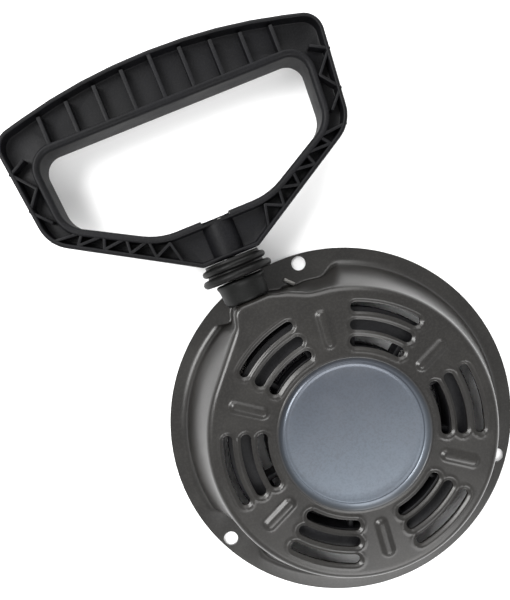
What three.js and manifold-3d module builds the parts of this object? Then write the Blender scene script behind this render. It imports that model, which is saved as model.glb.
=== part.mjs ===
// Recoil starter of a small horizontal-shaft engine: pressed cover, rope reel with its spiral spring,
// two pawls with their guide plate, rope, rubber bumper and a wide D handle.
// Millimetres. Origin: centre of the flange's underside. +Z out of the cover's face, +Y to mounting hole A.
import * as THREE from "three";
import { mergeVertices } from "three/addons/utils/BufferGeometryUtils.js";
import Module from "manifold-3d";

const wasm = await Module();
wasm.setup();

// ---- cover: overall sizes ----
const FLANGE_R = 82.5;
const COVER_H = 28.4;
const SHEET = 1.2;
const SHOULDER_R = 3.6;
const ROOT_R = 4.6;
const WALL_TOP_INSET = 20.5; // flange edge to the centre of the shoulder fillet
const FLANGE_BAND = 4.5; // flat band left outside the root fillet
const HOLE_INSET = 4.35; // flange edge to a bolt's centre line
const HOLE_R = 3.4;
const POCKET_FOOT_R = 8.2;
const POCKET_HEAD_R = 9.1;

// ---- cover: face ----
const DISC_R = 30.8;
const DISC_EDGE_R = 34.15;
const DISC_DEPTH = 2.4;
const SLOT_INNER_RADII = [38.5, 45.8, 54.0];
const SLOT_WIDTHS = [4.7, 4.7, 4.2];
const SLOT_HALF_ANGLE = THREE.MathUtils.degToRad(14.2);
const SLOT_GROUPS = 6;
const RIB_INNER_R = 39.3;
const RIB_OUTER_R = 57.0;
const RIB_WIDTH = 6.5;
const RIB_HEIGHT = 1.2;

// ---- rope line: direction in the plane, distance from the origin, height ----
const ROPE_TILT = THREE.MathUtils.degToRad(6.06);
const ROPE_OFFSET = -20.65;
const ROPE_Z = 17.0;
const ROPE_R = 2.0;

// ---- spout of the cover and the rope guide in it ----
const SPOUT_LEFT = -9.6;
const SPOUT_RIGHT = 10.2;
const SPOUT_INSET = 11.0; // flange edge to the spout's end, on the rope's line
const SPOUT_CORNER_R = 4.0;
const GUIDE_BORE_CLEAR = 1.7; // round the rope
const GUIDE_WALL = 2.3;
const GUIDE_MOUTH_FLARE = 2.5;
const GUIDE_TAIL = 5.1; // inside the spout's end wall
const GUIDE_COLLAR_R = 10.8;
const GUIDE_LENGTH = 10.6; // collar, outside the spout's end wall

// ---- clearances ----
const GAP = 0.3; // between pieces that don't touch
const RUN = 0.08; // radial clearance of a running fit
const BUMPER_GAP = 0.7; // guide to bumper
const FOOT_GAP = 0.4; // bumper to handle

// ---- centre post, bolt, bush ----
const POST_PLATE_R = 15.0;
const POST_PLATE_T = 1.5;
const ARBOR_R = 9.0;
const JOURNAL_R = 8.0;
const JOURNAL_FOOT_Z = 6.2;
const THREAD_R = 2.6;
const BUSH_WALL = 1.8;
const BOLT_R = 2.5;
const BOLT_HEAD_AF = 10.0;
const BOLT_HEAD_Z = [0.4, 2.2];
const WASHER_R = 7.0;
const WASHER_T = 0.7;
const SLEEVE_R = 4.2;

// ---- reel ----
const WEB_Z = [10.5, 12.5];
const REEL_LIP = 1.4; // flanges past the outer layer of rope
const REEL_FLANGE_T = 1.3;
const FLOOR_WALL_T = 1.8;
const CHAMBER_R = 36.5;
const CHAMBER_WALL_T = 2.0;
const HUB_R = 13.5;
const HUB_FOOT_Z = 6.8;
const SPOKES = 12;
const SPOKE_T = 2.2;
const SPOKE_TOP_Z = 20.4;
const KNOT_FROM_SPOKE = THREE.MathUtils.degToRad(20);

// ---- spiral spring ----
const SPRING_T = 0.6;
const SPRING_Z = [13.0, 21.2];
const SPRING_TURNS = 6;
const SPRING_CLEAR = 0.7;
const SPRING_SLOT = 1.6;
const COVER_PLATE_T = 0.5;

// ---- rope wound on the reel: two layers of turns that lie side by side ----
const TURN_GAP = 0.2;
const WOUND_ANGLE = 1300; // degrees of rope on the reel at rest

// ---- pawls and their guide plate ----
const PIVOT_R = 23.0;
const PIN_R = 2.0;
const PAWL_Z = [5.5, 8.3];
const PAWL_BOSS_R = 4.2;
const PAWL_LENGTH = 15.0;
const PEG_REACH = 8.0;
const PEG_R = 1.2;
const PAWL_SWING = THREE.MathUtils.degToRad(28);
const PLATE_SWING = THREE.MathUtils.degToRad(30);
const PLATE_R = 30.5;
const PLATE_Z = [3.4, 5.0];

// ---- rubber bumper ----
const BUMPER_R = 16.2;
const BUMPER_SMALL_R = 14.8;
const BUMPER_NECK_R = 12.6;
const BUMPER_BORE_CLEAR = 1.0; // round the rope
const BUMPER_LENGTH = 9.2;

// ---- handle: u across the rope, v along the pull from the handle's foot ----
const HANDLE_T = 18.0;
const HANDLE_Z = 8.0;
const HANDLE_RIM = 3.0;
const HANDLE_POCKET = 6.0;
const HANDLE_RIB_T = 2.0;
const BOSS_R = 7.25;
const KNOT_RECESS = [13.0, 13.0]; // width across u, height in z
const KNOT_SEAT = 9.1;

const deg = THREE.MathUtils.degToRad;

// ---------------------------------------------------------------- solids
function solid(geometry) {
  const plain = geometry.clone();
  plain.deleteAttribute("normal");
  plain.deleteAttribute("uv");
  const merged = mergeVertices(plain, 1e-4);
  return new wasm.Manifold(
    new wasm.Mesh({
      numProp: 3,
      vertProperties: new Float32Array(merged.attributes.position.array),
      triVerts: new Uint32Array(merged.index.array),
    }),
  );
}

function geometryOf(made) {
  const mesh = made.getMesh();
  const geometry = new THREE.BufferGeometry();
  geometry.setAttribute("position", new THREE.BufferAttribute(new Float32Array(mesh.vertProperties), 3));
  geometry.setIndex(new THREE.BufferAttribute(new Uint32Array(mesh.triVerts), 1));
  geometry.computeVertexNormals();
  return geometry;
}

function union(parts) {
  return parts.reduce((all, part) => all.add(part));
}

// Profile of [radius, height] pairs turned about +Z. It starts and ends on the axis, or closes on itself.
function turned(profile, segments) {
  const points = profile.map(([r, z]) => new THREE.Vector2(r, z));
  const onAxis = profile[0][0] === 0 && profile[profile.length - 1][0] === 0;
  if (!onAxis) {
    points.push(points[0].clone());
  }
  return new THREE.LatheGeometry(points, segments).rotateX(Math.PI / 2);
}

// A ring of rectangular section about +Z.
function ring(innerR, outerR, zLow, zHigh, segments) {
  const profile = [
    [innerR, zLow],
    [outerR, zLow],
    [outerR, zHigh],
    [innerR, zHigh],
  ];
  return solid(turned(profile, segments));
}

function disc(radius, zLow, zHigh, segments) {
  const profile = [
    [0, zLow],
    [radius, zLow],
    [radius, zHigh],
    [0, zHigh],
  ];
  return solid(turned(profile, segments));
}

function prism(shape, zLow, zHigh, curveSegments = 4) {
  const geometry = new THREE.ExtrudeGeometry(shape, {
    depth: zHigh - zLow,
    bevelEnabled: false,
    curveSegments,
  });
  return geometry.translate(0, 0, zLow);
}

function block(xLow, xHigh, yLow, yHigh, zLow, zHigh) {
  const box = new THREE.BoxGeometry(xHigh - xLow, yHigh - yLow, zHigh - zLow);
  return box.translate((xLow + xHigh) / 2, (yLow + yHigh) / 2, (zLow + zHigh) / 2);
}

function polar(radius, angle) {
  return [radius * Math.cos(angle), radius * Math.sin(angle)];
}

// Points of an arc in a profile, from one angle to another.
function arcPoints(centre, radius, from, to, steps) {
  const points = [];
  for (let i = 0; i <= steps; i += 1) {
    const angle = from + ((to - from) * i) / steps;
    points.push([centre[0] + radius * Math.cos(angle), centre[1] + radius * Math.sin(angle)]);
  }
  return points;
}

// ---------------------------------------------------------------- the rope's frame
const ACROSS = new THREE.Vector3(Math.cos(ROPE_TILT), Math.sin(ROPE_TILT), 0);
const ALONG = new THREE.Vector3(-Math.sin(ROPE_TILT), Math.cos(ROPE_TILT), 0);

// Local x = u across the rope, local y = v along it, local z = up from the flange plane.
const ropeFrame = new THREE.Matrix4()
  .makeBasis(ACROSS, ALONG, new THREE.Vector3(0, 0, 1))
  .setPosition(ACROSS.clone().multiplyScalar(ROPE_OFFSET));

function ropePoint(u, v, z) {
  return new THREE.Vector3(u, v, z).applyMatrix4(ropeFrame);
}

// Profile of [radius, v] pairs turned about the rope's line.
function turnedOnRope(profile, segments) {
  const points = profile.map(([r, v]) => new THREE.Vector2(r, v));
  const onAxis = profile[0][0] === 0 && profile[profile.length - 1][0] === 0;
  if (!onAxis) {
    points.push(points[0].clone());
  }
  return new THREE.LatheGeometry(points, segments).translate(0, 0, ROPE_Z).applyMatrix4(ropeFrame);
}

// Places along the rope's line: the spout's end wall, the guide, the bumper, the handle's foot.
const spoutEnd = FLANGE_R - SPOUT_INSET;
const guideTailV = spoutEnd - GUIDE_TAIL;
const guideEnd = spoutEnd + GUIDE_LENGTH;
const bumperStart = guideEnd + BUMPER_GAP;
const handleFootV = bumperStart + BUMPER_LENGTH + FOOT_GAP;
const knotSeatV = handleFootV + KNOT_SEAT;
const guideBoreR = ROPE_R + GUIDE_BORE_CLEAR;
const guideTailR = guideBoreR + GUIDE_WALL;
const guideHoleR = guideTailR + GAP;

// ---------------------------------------------------------------- cover
const shoulderCentre = [FLANGE_R - WALL_TOP_INSET, COVER_H - SHOULDER_R];
const rootCentre = [FLANGE_R - FLANGE_BAND, SHEET + ROOT_R];
const holeCircleR = FLANGE_R - HOLE_INSET;
const faceUnder = COVER_H - SHEET;
const discUnder = faceUnder - DISC_DEPTH;

// The wall is the line that touches both fillets, so its draft follows from them.
function wallDraft() {
  const run = rootCentre[0] - shoulderCentre[0];
  const drop = shoulderCentre[1] - rootCentre[1];
  const span = Math.hypot(run, drop);
  return Math.acos((SHOULDER_R + ROOT_R) / span) - Math.atan2(drop, run);
}

// The cover's skin, moved inwards by `depth`: 0 is the outside, SHEET the inside.
function coverProfile(depth) {
  const draft = wallDraft();
  const top = COVER_H - depth;
  const steps = 3;
  return [
    ...arcPoints(rootCentre, ROOT_R + depth, -Math.PI / 2, -Math.PI + draft, steps),
    ...arcPoints(shoulderCentre, SHOULDER_R - depth, draft, Math.PI / 2, steps),
    [DISC_EDGE_R - depth * 0.4, top],
    [DISC_R - depth * 0.4, top - DISC_DEPTH],
    [0, top - DISC_DEPTH],
  ];
}

// The tunnel for the rope: a rounded box that runs from inside the dome to the spout's end.
function spoutSolid(depth) {
  const left = SPOUT_LEFT + depth;
  const right = SPOUT_RIGHT - depth;
  const top = COVER_H - depth;
  const low = depth === 0 ? 0 : -1;
  const r = SPOUT_CORNER_R - depth;
  const section = new THREE.Shape();
  section.moveTo(left, low);
  section.lineTo(right, low);
  section.lineTo(right, top - r);
  section.absarc(right - r, top - r, r, 0, Math.PI / 2, false);
  section.lineTo(left + r, top);
  section.absarc(left + r, top - r, r, Math.PI / 2, Math.PI, false);
  section.closePath();
  const end = spoutEnd - depth;
  const start = 40;
  const geometry = prism(section, 0, end - start, 3);
  geometry.rotateX(Math.PI / 2);
  geometry.translate(0, end, 0);
  return solid(geometry.applyMatrix4(ropeFrame));
}

function slotShape(innerR, width) {
  const outerR = innerR + width;
  const middle = (innerR + outerR) / 2;
  const half = width / 2;
  const shape = new THREE.Shape();
  const [endX, endY] = polar(middle, SLOT_HALF_ANGLE);
  const [startX, startY] = polar(middle, -SLOT_HALF_ANGLE);
  shape.absarc(0, 0, outerR, -SLOT_HALF_ANGLE, SLOT_HALF_ANGLE, false);
  shape.absarc(endX, endY, half, SLOT_HALF_ANGLE, SLOT_HALF_ANGLE + Math.PI, false);
  shape.absarc(0, 0, innerR, SLOT_HALF_ANGLE, -SLOT_HALF_ANGLE, true);
  shape.absarc(startX, startY, half, Math.PI - SLOT_HALF_ANGLE, 2 * Math.PI - SLOT_HALF_ANGLE, false);
  return shape;
}

// A pressed rib: a pill with sloping sides, `depth` below its outer skin.
function pill(depth) {
  const shape = new THREE.Shape();
  const half = RIB_WIDTH / 2 - 1.4;
  shape.absarc(RIB_OUTER_R - RIB_WIDTH / 2, 0, half, -Math.PI / 2, Math.PI / 2, false);
  shape.absarc(RIB_INNER_R + RIB_WIDTH / 2, 0, half, Math.PI / 2, Math.PI * 1.5, false);
  const geometry = new THREE.ExtrudeGeometry(shape, {
    depth: 2,
    bevelEnabled: true,
    bevelSize: 1.4 - depth * 0.4,
    bevelThickness: RIB_HEIGHT,
    bevelSegments: 1,
    curveSegments: 3,
  });
  return geometry.translate(0, 0, COVER_H - 2 - depth);
}

const holeAngles = [0, 1, 2].map((i) => Math.PI / 2 + (i * 2 * Math.PI) / 3);

function makeCover() {
  const outerFoot = [
    [0, 0],
    [FLANGE_R, 0],
    [FLANGE_R, SHEET],
  ];
  const innerFoot = [
    [0, -1],
    [rootCentre[0], -1],
  ];
  let outer = solid(turned([...outerFoot, ...coverProfile(0)], 60));
  let inner = solid(turned([...innerFoot, ...coverProfile(SHEET)], 60));
  outer = outer.add(spoutSolid(0));
  inner = inner.add(spoutSolid(SHEET));
  for (const angle of holeAngles) {
    const [x, y] = polar(holeCircleR, angle);
    const height = COVER_H;
    const pocket = new THREE.CylinderGeometry(POCKET_HEAD_R, POCKET_FOOT_R, height, 16).rotateX(Math.PI / 2);
    const wallOf = new THREE.CylinderGeometry(POCKET_HEAD_R + SHEET, POCKET_FOOT_R + SHEET, height, 16);
    outer = outer.subtract(solid(pocket.translate(x, y, SHEET + height / 2)));
    inner = inner.subtract(solid(wallOf.rotateX(Math.PI / 2).translate(x, y, height / 2)));
    inner = inner.subtract(disc(POCKET_FOOT_R + SHEET, -2, 1, 16).translate(x, y, 0));
  }
  for (let i = 0; i < SLOT_GROUPS; i += 1) {
    const turn = deg(30 + 60 * i);
    outer = outer.add(solid(pill(0).rotateZ(turn)));
    inner = inner.add(solid(pill(SHEET).rotateZ(turn)));
  }
  let cover = outer.subtract(inner);
  for (let i = 0; i < SLOT_GROUPS; i += 1) {
    SLOT_INNER_RADII.forEach((innerR, k) => {
      const slot = prism(slotShape(innerR, SLOT_WIDTHS[k]), COVER_H - 4, COVER_H + 2, 4);
      cover = cover.subtract(solid(slot.rotateZ(deg(60 * i))));
    });
  }
  for (const angle of holeAngles) {
    const [x, y] = polar(holeCircleR, angle);
    cover = cover.subtract(disc(HOLE_R, -2, 4, 16).translate(x, y, 0));
  }
  const guideHole = [
    [0, spoutEnd - 4],
    [guideHoleR, spoutEnd - 4],
    [guideHoleR, spoutEnd + 3],
    [0, spoutEnd + 3],
  ];
  return cover.subtract(solid(turnedOnRope(guideHole, 24)));
}

// ---------------------------------------------------------------- guide
function makeGuide() {
  return turnedOnRope(
    [
      [guideBoreR + 1.6, guideTailV],
      [guideTailR, guideTailV],
      [guideTailR, spoutEnd],
      [GUIDE_COLLAR_R - 0.8, spoutEnd],
      [GUIDE_COLLAR_R, spoutEnd + 0.8],
      [GUIDE_COLLAR_R - 0.5, guideEnd - 3.5],
      [GUIDE_COLLAR_R + 0.4, guideEnd - 1],
      [GUIDE_COLLAR_R - 0.6, guideEnd],
      [guideBoreR + GUIDE_MOUTH_FLARE, guideEnd],
      [guideBoreR + 0.6, guideEnd - 2],
      [guideBoreR, guideEnd - 5],
      [guideBoreR, guideTailV + 4],
    ],
    28,
  );
}

const CLIP_V = spoutEnd - SHEET - 1.2;

function makeClip() {
  return turnedOnRope(
    [
      [guideTailR + RUN, CLIP_V],
      [guideTailR + 1.5, CLIP_V],
      [guideTailR + 1.5, CLIP_V + 1],
      [guideTailR + RUN, CLIP_V + 1],
    ],
    24,
  );
}

// ---------------------------------------------------------------- post, bolt and what is on them
function makePost() {
  const plateLow = discUnder - POST_PLATE_T;
  let post = solid(
    turned(
      [
        [THREAD_R, JOURNAL_FOOT_Z],
        [JOURNAL_R, JOURNAL_FOOT_Z],
        [JOURNAL_R, WEB_Z[1] + GAP],
        [ARBOR_R, WEB_Z[1] + GAP],
        [ARBOR_R, plateLow],
        [POST_PLATE_R, plateLow],
        [POST_PLATE_R, discUnder],
        [THREAD_R, discUnder],
      ],
      36,
    ),
  );
  const slot = block(5.4, ARBOR_R + 2, -SPRING_SLOT / 2, SPRING_SLOT / 2, SPRING_Z[0] - 1, plateLow - 0.2);
  return post.subtract(solid(slot));
}

const washerZ = [BOLT_HEAD_Z[1], BOLT_HEAD_Z[1] + WASHER_T];

function makeBolt() {
  const hexR = BOLT_HEAD_AF / 2 / Math.cos(Math.PI / 6);
  const head = disc(hexR, BOLT_HEAD_Z[0], BOLT_HEAD_Z[1], 6);
  return head.add(disc(BOLT_R, BOLT_HEAD_Z[1] - 0.5, 19, 16));
}

// ---------------------------------------------------------------- reel
const chamberOuterR = CHAMBER_R + CHAMBER_WALL_T;
const reelKnotR = 1.35 * ROPE_R;
const floorInnerR = chamberOuterR + 2 * reelKnotR + GAP;
const grooveFloorR = floorInnerR + FLOOR_WALL_T;
const innerEndR = floorInnerR - 1.8; // the rope's inner end, in the floor wall's window
const layerOneR = grooveFloorR + ROPE_R + 0.4;
const turnPitch = 2 * ROPE_R + TURN_GAP;
const layerTwoR = layerOneR + turnPitch;
const reelR = layerTwoR + ROPE_R + REEL_LIP;
const firstTurnZ = WEB_Z[1] + ROPE_R + 0.15;
const reelTopZ = firstTurnZ + turnPitch + ROPE_R + 0.35 + REEL_FLANGE_T;

// The rope leaves the reel on the tangent that reaches the guide's tail.
const tail = ropePoint(0, guideTailV, ROPE_Z);
const tailR = Math.hypot(tail.x, tail.y);
const leaveAngle = Math.atan2(tail.y, tail.x) + Math.acos(layerTwoR / tailR);

function smooth(t) {
  const s = Math.min(1, Math.max(0, t));
  return s * s * (3 - 2 * s);
}

// Where the rope is after `s` degrees of winding from its inner end: radius, height, angle.
function woundAt(s) {
  const sideways = smooth((s - 342) / 54);
  const outwards = smooth((s - 648) / 54);
  const back = smooth((s - 954) / 54);
  const rise = smooth(-s / 14);
  return {
    radius: layerOneR + turnPitch * outwards - (layerOneR - innerEndR) * rise,
    z: firstTurnZ + turnPitch * (sideways - back) + 1.9 * rise,
    angle: leaveAngle + deg(WOUND_ANGLE - s),
  };
}

// The rope's inner end and its knot lie in the window after the first spoke; the spring ends there too.
const innerEnd = woundAt(-19.5);
const spokePitch = (2 * Math.PI) / SPOKES;
const firstSpoke = (innerEnd.angle - KNOT_FROM_SPOKE) % spokePitch;

class WoundRope extends THREE.Curve {
  getPoint(t, target = new THREE.Vector3()) {
    const at = woundAt(-14 + (WOUND_ANGLE + 13) * t);
    return target.set(at.radius * Math.cos(at.angle), at.radius * Math.sin(at.angle), at.z);
  }
}

function ropeAlong(curve, steps, sides = 6) {
  const shape = new THREE.Shape();
  for (let i = 0; i < sides; i += 1) {
    const [x, y] = polar(ROPE_R, (i * 2 * Math.PI) / sides);
    if (i === 0) {
      shape.moveTo(x, y);
    } else {
      shape.lineTo(x, y);
    }
  }
  shape.closePath();
  return new THREE.ExtrudeGeometry(shape, { steps, extrudePath: curve, bevelEnabled: false });
}

// The straight run from the reel, a slow rise to the guide's height, then the bend into the guide.
function leadCurve() {
  const end = woundAt(WOUND_ANGLE);
  const leave = new THREE.Vector3(...polar(end.radius, leaveAngle), end.z);
  const bend = ropePoint(0, guideTailV + 3, ROPE_Z);
  const run = bend.clone().sub(leave);
  const levelEnd = leave.clone().addScaledVector(run, 0.45).setZ(end.z);
  const bendStart = leave.clone().addScaledVector(run, 0.86).setZ(ROPE_Z);
  const bendEnd = ropePoint(0, guideTailV + 10, ROPE_Z);
  const path = new THREE.CurvePath();
  path.add(new THREE.LineCurve3(leave.clone().addScaledVector(run, 0.02).setZ(end.z), levelEnd));
  path.add(new THREE.LineCurve3(levelEnd, bendStart));
  path.add(new THREE.QuadraticBezierCurve3(bendStart, bend, bendEnd));
  path.add(new THREE.LineCurve3(bendEnd, ropePoint(0, guideEnd + 0.1, ROPE_Z)));
  return path;
}

function arcWindow(innerR, outerR, halfAngle) {
  const shape = new THREE.Shape();
  shape.absarc(0, 0, outerR, -halfAngle, halfAngle, false);
  shape.absarc(0, 0, innerR, halfAngle, -halfAngle, true);
  shape.closePath();
  return shape;
}

function makeReel() {
  const segments = 48;
  const flangeLow = reelTopZ - REEL_FLANGE_T;
  let reel = union([
    ring(JOURNAL_R + RUN + BUSH_WALL, HUB_R, HUB_FOOT_Z, WEB_Z[1], segments),
    ring(HUB_R - 0.5, reelR, WEB_Z[0], WEB_Z[1], segments),
    ring(CHAMBER_R, chamberOuterR, WEB_Z[1] - 0.5, reelTopZ, segments),
    ring(floorInnerR, grooveFloorR, WEB_Z[1] - 0.5, reelTopZ, segments),
    ring(floorInnerR, reelR, flangeLow, reelTopZ, segments),
  ]);
  const halfWindow = spokePitch / 2 - SPOKE_T / 2 / 41;
  for (let i = 0; i < SPOKES; i += 1) {
    const turn = firstSpoke + i * spokePitch;
    const rib = block(CHAMBER_R + 1, floorInnerR + 1, -SPOKE_T / 2, SPOKE_T / 2, WEB_Z[1] - 1, SPOKE_TOP_Z);
    reel = reel.add(solid(rib.rotateZ(turn)));
    const window = prism(arcWindow(chamberOuterR + 0.8, floorInnerR - 0.5, halfWindow), 0, 20, 3);
    reel = reel.subtract(solid(window.rotateZ(turn + spokePitch / 2)));
  }
  for (const side of [0, 1]) {
    const hole = disc(PIN_R + 0.02, WEB_Z[0] - 1, WEB_Z[1] + 1, 16);
    reel = reel.subtract(hole.translate(PIVOT_R * (1 - 2 * side), 0, 0));
  }
  // The spring's outer end passes through the chamber's wall, and the rope's inner end through the floor's.
  const slotHalf = SPRING_SLOT / 2;
  const springSlot = block(CHAMBER_R - 1, chamberOuterR + 1, -slotHalf, slotHalf, SPRING_Z[0] - 0.5, 24);
  reel = reel.subtract(solid(springSlot.rotateZ(springEndAngle)));
  const enter = woundAt(-8);
  const ropeSlot = block(floorInnerR - 3, grooveFloorR + 0.6, -7.5, 7.5, WEB_Z[1] + 0.05, reelTopZ - 2.5);
  return reel.subtract(solid(ropeSlot.rotateZ(enter.angle)));
}

const springInnerR = ARBOR_R + SPRING_CLEAR;
const springOuterR = CHAMBER_R - SPRING_CLEAR;
const springEndAngle = 2 * Math.PI * SPRING_TURNS + firstSpoke + spokePitch / 2;

// Spiral strip with a straight tail at each end: one in the arbor's slot, one through the chamber's wall.
function makeSpring() {
  const steps = 20 * SPRING_TURNS;
  const half = SPRING_T / 2;
  const outerSide = [];
  const innerSide = [];
  for (let i = 0; i <= steps; i += 1) {
    const angle = (springEndAngle * i) / steps;
    const r = springInnerR + ((springOuterR - springInnerR) * i) / steps;
    outerSide.push(polar(r + half, angle));
    innerSide.push(polar(r - half, angle));
  }
  const startTail = [
    [springInnerR, -half],
    [6.2, -half],
    [6.2, half],
    [springInnerR - half, half],
  ];
  const turnOf = (x, y) => {
    const c = Math.cos(springEndAngle);
    const s = Math.sin(springEndAngle);
    return [x * c - y * s, x * s + y * c];
  };
  const endTail = [
    turnOf(springOuterR + half, -half),
    turnOf(chamberOuterR + 0.6, -half),
    turnOf(chamberOuterR + 0.6, half),
    turnOf(springOuterR - half, half),
  ];
  outerSide.shift();
  outerSide.pop();
  innerSide.shift();
  innerSide.pop();
  const outline = [...startTail.slice(0, 1), ...outerSide, ...endTail, ...innerSide.reverse()];
  outline.push(startTail[3], startTail[2], startTail[1]);
  const shape = new THREE.Shape(outline.map(([x, y]) => new THREE.Vector2(x, y)));
  return prism(shape, SPRING_Z[0], SPRING_Z[1]);
}

// ---------------------------------------------------------------- pawls
// The pawl hangs from its pin and trails inwards: its arm is drawn from the pin at the origin.
const armLean = 0.11;

function pawlShape() {
  const shape = new THREE.Shape();
  const lean = armLean;
  const tip = [-Math.sin(lean) * PAWL_LENGTH, -Math.cos(lean) * PAWL_LENGTH];
  shape.absarc(0, 0, PAWL_BOSS_R, deg(-20), deg(200), false);
  shape.lineTo(tip[0] - 2.4, tip[1] + 3);
  shape.lineTo(tip[0] - 1.8, tip[1]);
  shape.lineTo(tip[0] + 2.4, tip[1] + 0.6);
  shape.closePath();
  const bore = new THREE.Path();
  bore.absarc(0, 0, PIN_R + RUN, 0, 2 * Math.PI, true);
  shape.holes.push(bore);
  return shape;
}

function pegPoint(swing) {
  const a = -Math.PI / 2 - armLean + swing;
  return [PIVOT_R + PEG_REACH * Math.cos(a), PEG_REACH * Math.sin(a)];
}

function makePawl(turn) {
  const body = solid(prism(pawlShape(), PAWL_Z[0], PAWL_Z[1], 8).translate(PIVOT_R, 0, 0));
  const [x, y] = pegPoint(0);
  const peg = disc(PEG_R, PLATE_Z[0] - 0.4, PAWL_Z[0] + 0.5, 12).translate(x, y, 0);
  const whole = body.add(peg);
  return geometryOf(whole).rotateZ(turn);
}

function makePawlSpring(turn) {
  const turns = 1.75;
  const wire = 0.35;
  class Coil extends THREE.Curve {
    getPoint(t, target = new THREE.Vector3()) {
      const angle = t * turns * 2 * Math.PI;
      const r = PIN_R + 0.9;
      return target.set(PIVOT_R + r * Math.cos(angle), r * Math.sin(angle), PAWL_Z[1] + 0.6 + t * 1.2);
    }
  }
  const shape = new THREE.Shape();
  shape.moveTo(wire, 0);
  shape.lineTo(0, wire);
  shape.lineTo(-wire, 0);
  shape.lineTo(0, -wire);
  shape.closePath();
  const coil = new THREE.ExtrudeGeometry(shape, { steps: 28, extrudePath: new Coil(), bevelEnabled: false });
  return coil.rotateZ(turn);
}

// Guide plate: each peg runs in a slot that follows the peg's path as plate and pawl turn together.
function makePlate() {
  let plate = ring(SLEEVE_R + RUN, PLATE_R, PLATE_Z[0], PLATE_Z[1], 48);
  const steps = 6;
  for (const turn of [0, Math.PI]) {
    let last = null;
    for (let i = 0; i <= steps; i += 1) {
      const t = i / steps;
      const [x, y] = pegPoint(PAWL_SWING * t);
      const back = -PLATE_SWING * t;
      const here = new THREE.Vector2(x, y).rotateAround(new THREE.Vector2(), back + turn);
      const r = PEG_R + 0.4;
      plate = plate.subtract(disc(r, 0, 8, 14).translate(here.x, here.y, 0));
      if (last) {
        const run = here.clone().sub(last);
        const bar = block(0, run.length(), -r * 0.97, r * 0.97, 0, 8).rotateZ(run.angle());
        plate = plate.subtract(solid(bar.translate(last.x, last.y, 0)));
      }
      last = here;
    }
    const relief = prism(arcWindow(11, 18, deg(34)), 0, 8, 4).rotateZ(turn + Math.PI / 2);
    plate = plate.subtract(solid(relief));
  }
  return plate;
}

// ---------------------------------------------------------------- bumper and handle
function makeBumper() {
  const v = bumperStart;
  const end = v + BUMPER_LENGTH;
  return turnedOnRope(
    [
      [ROPE_R + BUMPER_BORE_CLEAR, v],
      [BUMPER_R - 3, v],
      [BUMPER_R - 0.6, v + 0.6],
      [BUMPER_R, v + 1.7],
      [BUMPER_R - 0.6, v + 2.9],
      [BUMPER_NECK_R, v + 3.7],
      [BUMPER_NECK_R, v + 4.7],
      [BUMPER_SMALL_R - 0.5, v + 5.3],
      [BUMPER_SMALL_R, v + 6.4],
      [BUMPER_SMALL_R - 0.7, v + 7.6],
      [BUMPER_NECK_R, v + 8.1],
      [BUMPER_NECK_R, end],
      [ROPE_R + BUMPER_BORE_CLEAR, end],
    ],
    32,
  );
}

// Corners as [u, v, fillet] of the right half, from the foot up; the left half mirrors them.
const outlineHalf = [
  [13.0, 0, 1.5],
  [70.2, 33.8, 16],
  [74.9, 83.1, 9],
  [31.0, 93.9, 245],
];
const gripHalf = [
  [25.3, 19.0, 30],
  [59.8, 38.1, 12],
  [61.6, 69.9, 8],
];

function mirrored(half) {
  const left = half.map(([u, v, r]) => [-u, v, r]).reverse();
  return [...half, ...left];
}

// Moves every side of a convex outline inwards by `depth` and shrinks its fillets with it.
function inset(corners, depth) {
  const count = corners.length;
  return corners.map(([u, v, r], i) => {
    const before = corners[(i + count - 1) % count];
    const after = corners[(i + 1) % count];
    const a = new THREE.Vector2(u - before[0], v - before[1]).normalize();
    const b = new THREE.Vector2(after[0] - u, after[1] - v).normalize();
    const normal = new THREE.Vector2(-a.y - b.y, a.x + b.x);
    const scale = depth / (1 + a.dot(b));
    return [u + normal.x * scale, v + normal.y * scale, Math.max(0.2, r - depth)];
  });
}

function filleted(corners, stepAngle = deg(12)) {
  const count = corners.length;
  const points = [];
  corners.forEach(([u, v, r], i) => {
    const before = corners[(i + count - 1) % count];
    const after = corners[(i + 1) % count];
    const a = new THREE.Vector2(u - before[0], v - before[1]).normalize();
    const b = new THREE.Vector2(after[0] - u, after[1] - v).normalize();
    const turn = Math.acos(THREE.MathUtils.clamp(a.dot(b), -1, 1));
    const reach = r * Math.tan(turn / 2);
    const start = new THREE.Vector2(u, v).addScaledVector(a, -reach);
    const centre = start.clone().add(new THREE.Vector2(-a.y, a.x).multiplyScalar(r));
    const from = Math.atan2(start.y - centre.y, start.x - centre.x);
    const steps = Math.max(r > 100 ? 4 : 1, Math.ceil(turn / stepAngle));
    for (let k = 0; k <= steps; k += 1) {
      const angle = from + (turn * k) / steps;
      points.push(new THREE.Vector2(centre.x + r * Math.cos(angle), centre.y + r * Math.sin(angle)));
    }
  });
  return new THREE.Shape(points);
}

// A straight rib between two points of the handle's plane.
function ribBetween(from, to) {
  const run = new THREE.Vector2(to[0] - from[0], to[1] - from[1]);
  const bar = block(-1.5, run.length() + 1.5, -HANDLE_RIB_T / 2, HANDLE_RIB_T / 2, -50, 50);
  return solid(bar.rotateZ(run.angle()).translate(from[0], from[1], 0));
}

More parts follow.
